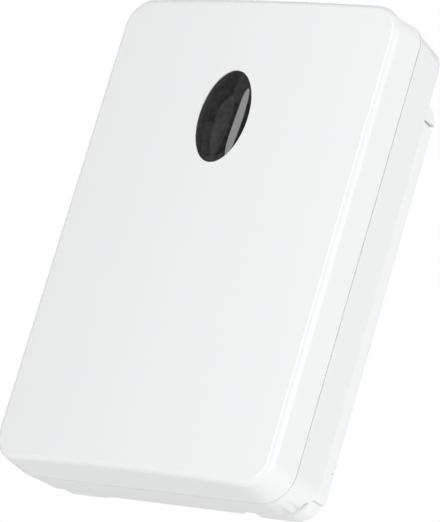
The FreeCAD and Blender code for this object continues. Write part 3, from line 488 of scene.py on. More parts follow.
WHITE = (0.838, 0.845, 0.85)
SLEEVE = (0.016, 0.017, 0.019)
FINISHES: Dict[str, Finish] = {finish.name: finish for finish in (
    Finish("gloss_white", WHITE, 0.3, mottle=0.004, grain=0.002, grain_size=0.6, coat=0.2),
    Finish("satin_white", WHITE, 0.42, mottle=0.006, grain=0.008),
    SmokedWindow("smoked_window", (0.004, 0.004, 0.0045), 0.045, grain=0.0, grain_size=1.0),
    Finish("foam_black", (0.02, 0.02, 0.02), 0.9, grain=0.05),
    Finish("rubber_black", (0.025, 0.025, 0.027), 0.65, grain=0.02),
    Finish("moulded_black", (0.02, 0.02, 0.021), 0.5, grain=0.02),
    Finish("dial_grey", (0.045, 0.048, 0.052), 0.42, grain=0.02),
    Finish("button_grey", (0.2, 0.21, 0.22), 0.45, grain=0.02),
    Finish("ink_grey", (0.11, 0.115, 0.12), 0.55, mottle=0.1, grain=0.004),
    Finish("ink_white", (0.82, 0.82, 0.81), 0.5, mottle=0.03, grain=0.004),
    Finish("board_green", (0.012, 0.11, 0.045), 0.36, mottle=0.2, coat=0.12),
    Finish("board_blue", (0.012, 0.05, 0.14), 0.36, mottle=0.2, coat=0.12),
    Finish("track_green", (0.02, 0.17, 0.065), 0.28, mottle=0.15, coat=0.3),
    Finish("track_blue", (0.02, 0.09, 0.23), 0.28, mottle=0.15, coat=0.3),
    Finish("zinc_steel", (0.6, 0.61, 0.62), 0.32, metallic=1.0),
    Finish("nickel", (0.72, 0.71, 0.68), 0.2, metallic=1.0),
    Finish("tin", (0.66, 0.66, 0.67), 0.28, mottle=0.15, grain=0.02, metallic=1.0),
    Finish("aluminium", (0.74, 0.75, 0.76), 0.35, mottle=0.1, metallic=1.0),
    Finish("enamelled_copper", (0.72, 0.3, 0.12), 0.22, metallic=1.0, coat=0.5),
    Finish("red_resin", (0.45, 0.03, 0.02), 0.1, grain=0.0, coat=1.0),
    Finish("ceramic_tan", (0.34, 0.22, 0.12), 0.4, mottle=0.15),
    Finish("cell_ceramic", (0.6, 0.42, 0.2), 0.3, coat=0.6),
    Finish("cell_orange", (0.35, 0.08, 0.02), 0.3, mottle=0.2, coat=0.6),
    Finish("capacitor_sleeve", (0.03, 0.04, 0.12), 0.25, grain=0.0, coat=0.4),
    CellSleeve("lower_sleeve", SLEEVE, 0.28, mottle=0.1, coat=0.5, side=-1),
    CellSleeve("upper_sleeve", SLEEVE, 0.28, mottle=0.1, coat=0.5, side=1),
)}

COPIED_NODES: Dict[str, Tuple[str, ...]] = {
    "foam_black": ("window_tape",),
    "rubber_black": ("case_seal",),
    "zinc_steel": ("chip_leads",),
    "enamelled_copper": ("antenna_coil",),
    "nickel": ("upper_spring", "lower_spring", "negative_contact", "positive_contact", "bridge_contact"),
    "moulded_black": ("on_plunger", "off_plunger", "on_switch", "off_switch", "lux_potentiometer",
                      "time_switch"),
}


@dataclass
class Workshop:
    """Holds the frame and the finishes, and puts finished pieces on their bodies."""

    frame: dict
    materials: Dict[str, bpy.types.Material] = field(default_factory=dict)

    def place(self, piece: Piece, finish: str, *nodes: str, body: Body = Body.SENSOR) -> None:
        """Dresses a piece and puts it on its body.

        Args:
            piece: the finished mesh.
            finish: the name of its finish, whose material is built when first asked for.
            nodes: the frame's nodes that it stands for.
            body: the body that carries it.
        """
        if finish not in self.materials:
            self.materials[finish] = FINISHES[finish].build()
        piece.data.materials.append(self.materials[finish])
        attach(piece, body.value)
        if nodes:
            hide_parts(*nodes)
        log.info("%s on %s, %d faces", piece.name, body.value, len(piece.data.polygons))

    def copy_nodes(self) -> None:
        """Gives the nodes that no modelled piece stands for a smooth welded copy each, in their finish."""
        groups = self.frame["record"]["behaviour"]["bodies"]
        finishes = {node: finish for finish, nodes in COPIED_NODES.items() for node in nodes}
        for node in sorted(finishes):
            body = next(Body(name) for name, members in groups.items() if node in members)
            form = smoothed_copy(self.frame["nodes"][node], node + "_form")
            self.place(form, finishes[node], node, body=body)


@dataclass(frozen=True)
class PhotoView:
    """Camera at the photograph's viewing angle, below the sensor and to its right."""

    place: Triple = (0.477646, -0.603524, -0.214733)
    turn: Triple = (106.29015768, -15.99214938, 34.31631053)
    lens: float = 265.128
    reach: float = 20.0

    def build(self) -> None:
        """Adds the camera and makes it the scene's."""
        data = bpy.data.cameras.new("photo_view")
        data.lens = self.lens
        data.clip_end = self.reach
        camera = bpy.data.objects.new("photo_view", data)
        camera.location = self.place
        camera.rotation_euler = [math.radians(angle) for angle in self.turn]
        bpy.context.scene.collection.objects.link(camera)
        bpy.context.scene.camera = camera


@dataclass(frozen=True)
class Lamp:
    """Soft lamp, rectangular or oval, that is aimed at a point."""

    name: str
    place: Triple
    power: float
    size: Pair = (0.9, 0.9)
    shape: str = "RECTANGLE"
    aim: Triple = (0.0, -0.01, 0.0)

    def build(self) -> None:
        """Adds the lamp."""
        data = bpy.data.lights.new(self.name, "AREA")
        data.shape = self.shape
        data.size, data.size_y = self.size
        data.energy = self.power
        lamp = bpy.data.objects.new(self.name, data)
        lamp.location = self.place
        way = Vector(self.aim) - Vector(self.place)
        lamp.rotation_euler = way.to_track_quat("-Z", "Y").to_euler()
        bpy.context.scene.collection.objects.link(lamp)


@dataclass
class Studio:
    """Pale floor, white surroundings, soft lamps and the camera.

    Attributes:
        floor_height: how high the floor lies, in metres.
        floor_side: its side in metres.
        floor_colour: its colour, the same in all channels.
        floor_roughness: its roughness.
        floor_glow: how much of a plain white it shows to the camera.
        table_glow: how much of that white it shines on the sensor.
        ambient: how bright the surroundings are as a light.
        lamps: the lamps, in metres and watts.
    """

    floor_height: float = -0.30
    floor_side: float = 6.0
    floor_colour: float = 0.94
    floor_roughness: float = 0.7
    floor_glow: float = 0.75
    table_glow: float = 0.5
    ambient: float = 0.3
    lamps: Tuple[Lamp, ...] = (
        Lamp("window_strip", (-0.105, -1.205, 0.29), 6.1, (0.36, 1.06), "ELLIPSE"),
        Lamp("band_lamp", (-0.78, -1.249, 0.286), 0.55, (0.6, 0.8), "ELLIPSE"),
        Lamp("left_lamp", (-1.131, -1.131, 0.0), 0.5),
        Lamp("high_lamp", (-0.317, -1.184, 1.028), 0.8),
        Lamp("right_lamp", (1.546, -0.414, 0.0), 8.6),
        Lamp("far_right_lamp", (1.546, 0.414, 0.0), 8.4),
        Lamp("rear_left_lamp", (-0.566, 0.98, 1.131), 4.5),
        Lamp("rear_right_lamp", (0.566, 0.98, 1.131), 2.2),
    )

    def build(self) -> None:
        """Builds the studio."""
        bpy.context.scene.view_settings.view_transform = "Standard"
        self._world()
        self._floor()
        for lamp in self.lamps:
            lamp.build()
        PhotoView().build()

    def _world(self) -> None:
        """Makes the surroundings white to the eye, and grey as a light."""
        world = bpy.data.worlds.new("studio_air")
        bpy.context.scene.world = world
        world.use_nodes = True
        wiring = Wiring(world.node_tree)
        wiring.tree.nodes.clear()
        rays = wiring.add("LightPath").outputs
        seen = wiring.math("MAXIMUM", rays["Is Camera Ray"], rays["Is Transmission Ray"])
        level = wiring.add("MapRange", {"Value": seen, "To Min": self.ambient, "To Max": 1.0})
        air = wiring.add("Background", {"Color": (1.0,) * 4, "Strength": level.outputs["Result"]})
        wiring.add("OutputWorld", {"Surface": air.outputs["Background"]})

    def _floor(self) -> None:
        """Adds the pale light table far below the sensor, which is clear from underneath."""
        floor = primitive(bpy.ops.mesh.primitive_plane_add, (0, 0, self.floor_height), size=self.floor_side)
        floor.name = "studio_floor"
        material, wiring, shader = blank_material("studio_floor")
        wiring.feed(shader, {"Base Color": (*(self.floor_colour,) * 3, 1.0),
                             "Roughness": self.floor_roughness})
        seen = wiring.add("LightPath").outputs["Is Camera Ray"]
        share = wiring.add("MapRange", {"Value": seen, "To Min": self.table_glow, "To Max": self.floor_glow})
        lit = wiring.add("MixShader", {"Fac": share.outputs["Result"], 1: shader.outputs["BSDF"],
                                       2: wiring.add("Emission").outputs["Emission"]})
        behind = wiring.add("NewGeometry").outputs["Backfacing"]
        side = wiring.add("MixShader", {"Fac": behind, 1: lit.outputs["Shader"],
                                        2: wiring.add("BsdfTransparent").outputs["BSDF"]})
        output = next(node for node in wiring.tree.nodes if node.type == "OUTPUT_MATERIAL")
        wiring.feed(output, {"Surface": side.outputs["Shader"]})
        floor.data.materials.append(material)


def primitive(add: Callable[..., object], place: Sequence[float], stretch: Sequence[float] = (1, 1, 1),
              turn: Sequence[float] = (0, 0, 0), **settings: object) -> Piece:
    """Adds a primitive with nothing else selected, stretches it and applies its transform.

    Args:
        add: the operator that adds it.
        place: its middle in metres.
        stretch: how far it is stretched along its own axes.
        turn: how far it is turned about each axis, in radians.
        settings: the operator's other values.

    Returns:
        The primitive.
    """
    bpy.ops.object.select_all(action="DESELECT")
    add(location=place, rotation=turn, **settings)
    piece = bpy.context.active_object
    piece.scale = stretch
    bpy.ops.object.transform_apply(location=True, rotation=True, scale=True)
    return piece


@dataclass(frozen=True)
class Outline:
    """Rounded rectangle across the sensor, in millimetres.

    Attributes:
        width: its width.
        height: its height.
        radius: its corner radius.
        depth: where it lies along the depth.
        middle: the height of its middle.
        square_top: whether its two upper corners stay square.
        across: where its middle lies across.
    """

    width: float
    height: float
    radius: float
    depth: float
    middle: float = 0.0
    square_top: bool = False
    across: float = 0.0

    def sheet(self, steps: int, depth: float) -> Piece:
        """Builds the outline as one flat face.

        Args:
            steps: the segments in each rounded corner.
            depth: where the face is laid for now.

        Returns:
            The sheet.
        """
        sheet = primitive(bpy.ops.mesh.primitive_plane_add, (self.across * MM, depth * MM, self.middle * MM),
                          (self.width * MM, self.height * MM, 1), (QUARTER, 0, 0), size=1)
        with editing(sheet):
            pick(sheet, Pick.POINTS, lambda place: not (self.square_top and place.z > self.middle))
            bpy.ops.mesh.bevel(offset=self.radius * MM, segments=steps, affect="VERTICES")
        return sheet

    def drawn(self, name: str, end: float, steps: int) -> Piece:
        """Draws the outline out to a second depth."""
        return lofted(name, [self, replace(self, depth=end)], steps)


def lofted(name: str, outlines: Sequence[Outline], steps: int = 12) -> Piece:
    """Bridges outlines one after the other into a closed shell.

    The outlines are bridged well apart, in a row, and each is then moved to its own depth.

    Args:
        name: the piece's name.
        outlines: the outlines in order, the first and last of which close the shell.
        steps: the segments in each rounded corner.

    Returns:
        The shell.
    """
    places = [100.0 + 20.0 * index for index in range(len(outlines))]
    piece = joined([outline.sheet(steps, place) for outline, place in zip(outlines, places)], name)
    with editing(piece):
        for station in places[1:-1]:
            pick(piece, Pick.FACES, at(station, 0.02))
            bpy.ops.mesh.delete(type="ONLY_FACE")
        for first, second in zip(places, places[1:]):
            pick(piece, Pick.EDGES, lambda point: near(point.y, first) or near(point.y, second))
            bpy.ops.mesh.bridge_edge_loops()
        for outline, station in zip(outlines, places):
            pick(piece, Pick.POINTS, at(station, 0.02))
            bpy.ops.transform.translate(value=(0, (outline.depth - station) * MM, 0))
        bpy.ops.mesh.select_all(action="SELECT")
        bpy.ops.mesh.normals_make_consistent(inside=False)
    return piece


def rounded_edges(piece: Piece, test: Test, size: float, segments: int = 2,
                  middle: Optional[Test] = None) -> Piece:
    """Rounds the edges whose two ends pass a test.

    Args:
        piece: the piece to round.
        test: takes a point in millimetres.
        size: the width of the rounding in millimetres.
        segments: its segments.
        middle: a further test, for the middle of an edge.

    Returns:
        The same piece.
    """
    with editing(piece):
        if pick(piece, Pick.EDGES, test, middle):
            bpy.ops.mesh.bevel(offset=size * MM, segments=segments, profile=0.5, affect="EDGES",
                               clamp_overlap=True)
    return piece


def bar(x: Pair, y: Pair, z: Pair, edge: float = 0.0) -> Piece:
    """Makes a straight bar between limits in millimetres, with eased edges.

    Args:
        x: its two limits across.
        y: its two limits in depth.
        z: its two limits in height.
        edge: the width of its eased edges.

    Returns:
        The bar.
    """
    piece = primitive(bpy.ops.mesh.primitive_cube_add, [sum(pair) / 2 * MM for pair in (x, y, z)],
                      [abs(pair[1] - pair[0]) * MM for pair in (x, y, z)], size=1)
    if edge:
        with editing(piece):
            bpy.ops.mesh.select_all(action="SELECT")
            bpy.ops.mesh.bevel(offset=edge * MM, segments=2, affect="EDGES")
    return piece


def oval_rod(half: Pair, y: Pair, place: Pair, steps: int = 96) -> Piece:
    """Makes an oval or round rod along the depth.

    Args:
        half: its half width and half height in millimetres.
        y: its two ends.
        place: its middle across and up.
        steps: its sides.

    Returns:
        The rod.
    """
    return primitive(bpy.ops.mesh.primitive_cylinder_add, (place[0] * MM, sum(y) / 2 * MM, place[1] * MM),
                     (half[0] * MM, half[1] * MM, abs(y[1] - y[0]) * MM), (QUARTER, 0, 0),
                     vertices=steps, radius=1, depth=1)


def rod(radius: float, y: Pair, place: Pair, steps: int = 40) -> Piece:
    """Makes a round rod along the depth."""
    return oval_rod((radius, radius), y, place, steps)


def cross_rod(radius: float, middle: float, length: float, place: Pair, steps: int) -> Piece:
    """Makes a round rod across the sensor.

    Args:
        radius: its radius in millimetres.
        middle: where its middle lies across.
        length: its length.
        place: its depth and height.
        steps: its sides.

    Returns:
        The rod.
    """
    return primitive(bpy.ops.mesh.primitive_cylinder_add, (middle * MM, place[0] * MM, place[1] * MM),
                     turn=(0, QUARTER, 0), vertices=steps, radius=radius * MM, depth=length * MM)


def collar(radius: float, bore: float, y: Pair, place: Pair, depth: float) -> Piece:
    """Makes a round boss whose front has a bore.

    Args:
        radius: its outer radius in millimetres.
        bore: the bore's radius.
        y: its rear and front ends.
        place: its middle across and up.
        depth: how deep the bore goes.

    Returns:
        The boss.
    """
    piece, rim = rod(radius, y, place), at(min(y), 0.02)
    with editing(piece):
        pick(piece, Pick.FACES, rim)
        bpy.ops.mesh.inset(thickness=(radius - bore) * MM)
        bpy.ops.mesh.extrude_region_move(TRANSFORM_OT_translate={"value": (0, depth * MM, 0)})
        pick(piece, Pick.EDGES, rim)
        bpy.ops.mesh.bevel(offset=RIM_EASE * MM, segments=2, affect="EDGES")
    return piece


def twin(piece: Piece, name: str, shift: Triple = (0.0, 0.0, 0.0), turn: float = 0.0,
         pivot: Pair = (0.0, 0.0)) -> Piece:
    """Copies a piece with a mesh of its own, turned about the depth and moved.

    Args:
        piece: the piece to copy.
        name: the name of the copy.
        shift: how far the copy is moved, in millimetres.
        turn: how far it is turned clockwise as seen from the front, in degrees.
        pivot: the place across and up that it turns about.

    Returns:
        The copy.
    """
    only(piece)
    bpy.ops.object.duplicate(linked=False)
    copy = bpy.context.view_layer.objects.active
    copy.name = name
    copy.data.name = name
    with editing(copy):
        bpy.ops.mesh.select_all(action="SELECT")
        if turn:
            bpy.ops.transform.rotate(value=-math.radians(turn), orient_axis="Y",
                                     center_override=(pivot[0] * MM, 0, pivot[1] * MM))
        bpy.ops.transform.translate(value=[step * MM for step in shift])
    return copy


def set_out(model: Piece, spots: Sequence[Pair], keep: bool = False) -> List[Piece]:
    """Sets out copies of a model that lies at the middle.

    Args:
        model: the piece to copy.
        spots: where the copies go, across and up in millimetres.
        keep: whether the model is still needed; it is removed otherwise.

    Returns:
        The copies.
    """
    copies = [twin(model, "copy", (x, 0, z)) for x, z in spots]
    if not keep:
        bpy.data.objects.remove(model)
    return copies


def ring_of(model: Piece, turns: Sequence[float], pivot: Pair) -> List[Piece]:
    """Copies a model round a pivot and removes it.

    Args:
        model: the piece to copy.
        turns: how far each copy is turned, in degrees.
        pivot: the place across and up that they turn about.

    Returns:
        The copies.
    """
    copies = [twin(model, "copy", turn=turn, pivot=pivot) for turn in turns]
    bpy.data.objects.remove(model)
    return copies


def arc(middle: Pair, reach: Pair, angles: Sequence[float]) -> List[Pair]:
    """Rounds a profile by points on an oval.

    Args:
        middle: the oval's middle, as radius and station in millimetres.
        reach: its half sizes along the radius and the station.
        angles: the points' angles in degrees, from the station's way to the radius's.

    Returns:
        The points.
    """
    turns = [math.radians(angle) for angle in angles]
    return [(middle[0] + reach[0] * math.sin(turn), middle[1] + reach[1] * math.cos(turn)) for turn in turns]


def turned(name: str, profile: Sequence[Pair], place: Triple, along_x: bool = False, closed: bool = False,
           steps: int = 48) -> Piece:
    """Turns a profile about a line along the depth, or across the sensor.

    Args:
        name: the piece's name.
        profile: radius and station of each point, in millimetres.
        place: where the line's station 0 lies.
        along_x: whether the line runs across.
        closed: whether the profile is a closed ring away from the line.
        steps: the sides of the turned piece.

    Returns:
        The turned piece.
    """
    piece = primitive(bpy.ops.mesh.primitive_plane_add, (0, 0, 0), size=0.001)
    points = list(profile) + ([profile[0]] if closed else [])
    spots = [Vector((station, 0, radius) if along_x else (radius, station, 0)) for radius, station in points]
    axis = (1, 0, 0) if along_x else (0, 1, 0)
    with editing(piece):
        bpy.ops.mesh.select_mode(type=Pick.POINTS.value)
        bpy.ops.mesh.select_all(action="SELECT")
        bpy.ops.mesh.merge(type="CENTER")
        bpy.ops.transform.translate(value=spots[0] * MM)
        for first, second in zip(spots, spots[1:]):
            bpy.ops.mesh.extrude_vertices_move(TRANSFORM_OT_translate={"value": (second - first) * MM})
        bpy.ops.mesh.select_all(action="SELECT")
        bpy.ops.mesh.spin(steps=steps, angle=math.tau, center=(0, 0, 0), axis=axis)
        bpy.ops.mesh.select_all(action="SELECT")
        bpy.ops.mesh.remove_doubles(threshold=WELD)
        bpy.ops.mesh.normals_make_consistent(inside=False)
        bpy.ops.transform.translate(value=[step * MM for step in place])
    return joined([piece], name)


def printed(words: str, size: float, place: Pair, front: float) -> Piece:
    """Makes printed figures or a word, as a mesh that faces the front.

    Args:
        words: what is printed.
        size: the letters' size in millimetres.
        place: the middle across and up.
        front: the depth of the face that carries it.

    Returns:
        The printing.
    """
    bpy.ops.object.select_all(action="DESELECT")
    bpy.ops.object.text_add()
    mark = bpy.context.active_object
    for key, value in {"body": words, "size": size * MM, "align_x": "CENTER", "align_y": "CENTER",
                       "extrude": PRINT_THICKNESS * MM, "resolution_u": 4}.items():
        setattr(mark.data, key, value)
    bpy.ops.object.convert(target="MESH")
    mark = bpy.context.active_object
    mark.rotation_euler = (QUARTER, 0, 0)
    mark.location = (place[0] * MM, front * MM, place[1] * MM)
    bpy.ops.object.transform_apply(location=True, rotation=True, scale=True)
    return mark


def tracks(paths: Sequence[Sequence[Pair]], width: float, front: float, lift: float = 0.03) -> List[Piece]:
    """Makes copper tracks along paths: a thin strip for each leg and a round at each turn.

    Args:
        paths: for each track its turns across and up, in millimetres.
        width: the tracks' width.
        front: the depth of the board's face.
        lift: how far they stand proud of the board.

    Returns:
        The strips and rounds.
    """
    pieces = []
    for path in paths:
        for start, end in zip(path, path[1:]):
            run = math.hypot(end[0] - start[0], end[1] - start[1])
            leg = bar((0, run), (front + 0.05, front - lift), (-width / 2, width / 2))
            leg.rotation_euler = (0, -math.atan2(end[1] - start[1], end[0] - start[0]), 0)
            leg.location = (start[0] * MM, 0, start[1] * MM)
            only(leg)
            bpy.ops.object.transform_apply(location=True, rotation=True, scale=True)
            pieces.append(leg)
        pieces += [rod(width / 2, (front + 0.04, front - lift - 0.004), turn, 12) for turn in path]
    return pieces


@dataclass(frozen=True)
class CaseSizes:
    """Sizes that the cover, the housing, the window and the plate share, in millimetres."""

    width: float = 72.0
    height: float = 105.5
    corner: float = 7.0
    back_corner: float = 7.9
    wall: float = 2.2
    split: float = -14.5
    face: float = -22.3
    back: float = -4.5
    floor: float = -6.7
    crown: float = 2.2
    cover_draft: float = 0.8
    side_draft: float = 0.9
    end_draft: float = 0.2
    shut_line: float = 0.2
    shut_depth: float = 0.5
    post_inset: float = 7.0
    window_height: float = 25.2
    window_half: Pair = (6.2, 10.2)

    def outline(self, inset: float, depth: float) -> Outline:
        """Returns the case's outline, moved in all round, at a depth."""
        return Outline(self.width - 2 * inset, self.height - 2 * inset, self.corner - inset, depth)

    def housing_outline(self, inset: float, depth: float) -> Outline:
        """Lays the housing's tapered outline at a depth.

        Args:
            inset: how far it is moved in all round, in millimetres.
            depth: where it lies.

        Returns:
            The outline.
        """
        share = max(0.0, (depth - self.split) / (self.back - self.split))
        side, end = inset + share * self.side_draft, inset + share * self.end_draft
        radius = self.corner + share * (self.back_corner - self.corner) - inset
        return Outline(self.width - 2 * side, self.height - 2 * end, radius, depth)

    def rise(self, x: float) -> float:
        """Measures the crown.

        Args:
            x: a place across, in millimetres.

        Returns:
            How far the crown stands proud of the cover's edge there.
        """
        half = self.width / 2 - self.cover_draft
        radius = (half ** 2 + self.crown ** 2) / (2 * self.crown)
        return math.sqrt(radius ** 2 - min(abs(x), half) ** 2) - (radius - self.crown)

    def corners(self) -> List[Pair]:
        """Returns the places of the four guide posts."""
        x, z = self.width / 2 - self.post_inset, self.height / 2 - self.post_inset
        return [(sx * x, sz * z) for sx in (-1, 1) for sz in (-1, 1)]


@dataclass
class Part:
    """Sub-assembly that models its pieces and hands them to the workshop."""

    shop: Workshop


@dataclass
class CasePart(Part):
    """Sub-assembly of the case."""

    sizes: CaseSizes


@dataclass
class FrontCover(CasePart):
    """Crowned front shell with its window opening, window seat and guide posts."""

    edge_round: float = 1.2
    edge_ease: float = 0.06
    inner_round: float = 0.6
    columns: int = 21
    lip: float = 1.1
    relief: float = -16.8
    post_radius: float = 1.6
    post_tip: float = -7.3
    seat: float = -21.5
    seat_width: float = 1.2
    opening_gap: float = 0.1

    def build(self) -> None:
        """Models the cover and puts it on its body."""
        shell = self._shell()
        self._crown(shell)
        cover = joined([shell, self._window_seat(shell), *self._posts()], "cover_shell")
        self.shop.place(shaded(cover), "gloss_white", "front_cover", body=Body.COVER)

    def _shell(self) -> Piece:
        """Lofts the flat fronted shell and rounds its front edge.

        Returns:
            The shell.
        """
        sizes = self.sizes
        inner = sizes.face + sizes.wall
        lean = sizes.cover_draft * (sizes.split - inner) / (sizes.split - sizes.face)
        shell = lofted("cover_shell", [
            sizes.outline(sizes.cover_draft, sizes.face),
            sizes.outline(0.0, sizes.split),
            sizes.outline(self.lip, sizes.split - 0.01),
            sizes.outline(self.lip, self.relief),
            sizes.outline(sizes.wall, self.relief - 0.01),
            sizes.outline(sizes.wall + lean, inner),
        ])
        rounded_edges(shell, at(sizes.face), self.edge_round, 7)
        rounded_edges(shell, at(inner), self.inner_round, 3)
        return rounded_edges(shell, at(sizes.split), self.edge_ease)

    def _crown(self, shell: Piece) -> None:
        """Divides the shell in upright columns and moves them out to the crown, their ends in by the draft.

        Args:
            shell: the shell to crown.
        """
        sizes = self.sizes
        half, end = sizes.width / 2 - sizes.corner, sizes.height / 2 - sizes.corner
        with editing(shell):
            for index in range(self.columns):
                divide((-half + 2 * half * index / (self.columns - 1), 0, 0), (1, 0, 0))
            for z in (-end, end):
                divide((0, 0, z), (0, 0, 1))
        front = sizes.face + sizes.wall + 0.7
        slope = sizes.cover_draft / (sizes.split - sizes.face)
        places = sorted({round(point.co.x / MM, 1) for point in shell.data.vertices
                         if point.co.y / MM < front})
        with editing(shell):
            for x in places:
                for side in (-1, 1):
                    if pick(shell, Pick.POINTS, lambda place: abs(place.x - x) <= 0.05 and place.y < front
                            and place.z * side > 0):
                        rise = sizes.rise(x)
                        bpy.ops.transform.translate(value=(0, -rise * MM, -side * rise * slope * MM))

    def _window_seat(self, shell: Piece) -> Piece:
        """Cuts the oval window opening and models the raised ring behind it, for the window's flange.

        Args:
            shell: the shell to cut.

        Returns:
            The ring.
        """
        face, place = self.sizes.face, (0, self.sizes.window_height)
        half = grown(self.sizes.window_half, self.opening_gap)
        carved(shell, oval_rod(half, (face - 6, face + 5), place))
        ring = oval_rod(grown(half, self.seat_width), (face + 0.2, self.seat), place)
        carved(ring, oval_rod(half, (face - 1.8, self.seat + 2), place))
        return rounded_edges(ring, at(self.seat, 0.02), 0.1)

    def _posts(self) -> List[Piece]:
        """Models the four guide posts with tapered tips.

        Returns:
            The posts.
        """
        posts = []
        for place in self.sizes.corners():
            post = rod(self.post_radius, (self.sizes.face + 1.0, self.post_tip), place, 32)
            posts.append(rounded_edges(post, at(self.post_tip, 0.02), self.post_radius / 3))
        return posts


@dataclass
class Window(CasePart):
    """Domed smoked lens with its flange."""

    edge: float = -24.3
    rise: float = 1.2
    flange: float = 1.2
    flange_front: float = -21.3
    flange_back: float = -20.3
    bulge: float = 1.3
    rings: int = 14

    def build(self) -> None:
        """Models the lens and puts it on the cover."""
        half, height = self.sizes.window_half, self.sizes.window_height
        lens = oval_rod(half, (self.flange_front, self.edge), (0, height), 128)
        with editing(lens):
            pick(lens, Pick.FACES, lambda place: near(place.y, self.edge))
            self._dome()
        rim = oval_rod(grown(half, self.flange), (self.flange_back, self.flange_front), (0, height), 128)
        rounded_edges(rim, lambda place: place.length > 0, 0.1)
        lens = joined([lens, rim], "window_dome")
        self.shop.place(shaded(lens, 40), "smoked_window", "window_lens", body=Body.COVER)

    def _dome(self) -> None:
        """Raises the selected face ring by ring to the dome, in edit mode."""
        height = self.sizes.window_height * MM
        last, level = 1.0, 0.0
        for index in range(1, self.rings + 1):
            reach = math.cos(math.pi / 2 * index / (self.rings + 0.6))
            up = (1 - reach ** (2 * self.bulge)) * self.rise
            bpy.ops.mesh.extrude_region_move(TRANSFORM_OT_translate={"value": (0, -(up - level) * MM, 0)})
            bpy.ops.transform.resize(value=(reach / last, 1, reach / last), center_override=(0, 0, height))
            last, level = reach, up
        bpy.ops.mesh.merge(type="CENTER")


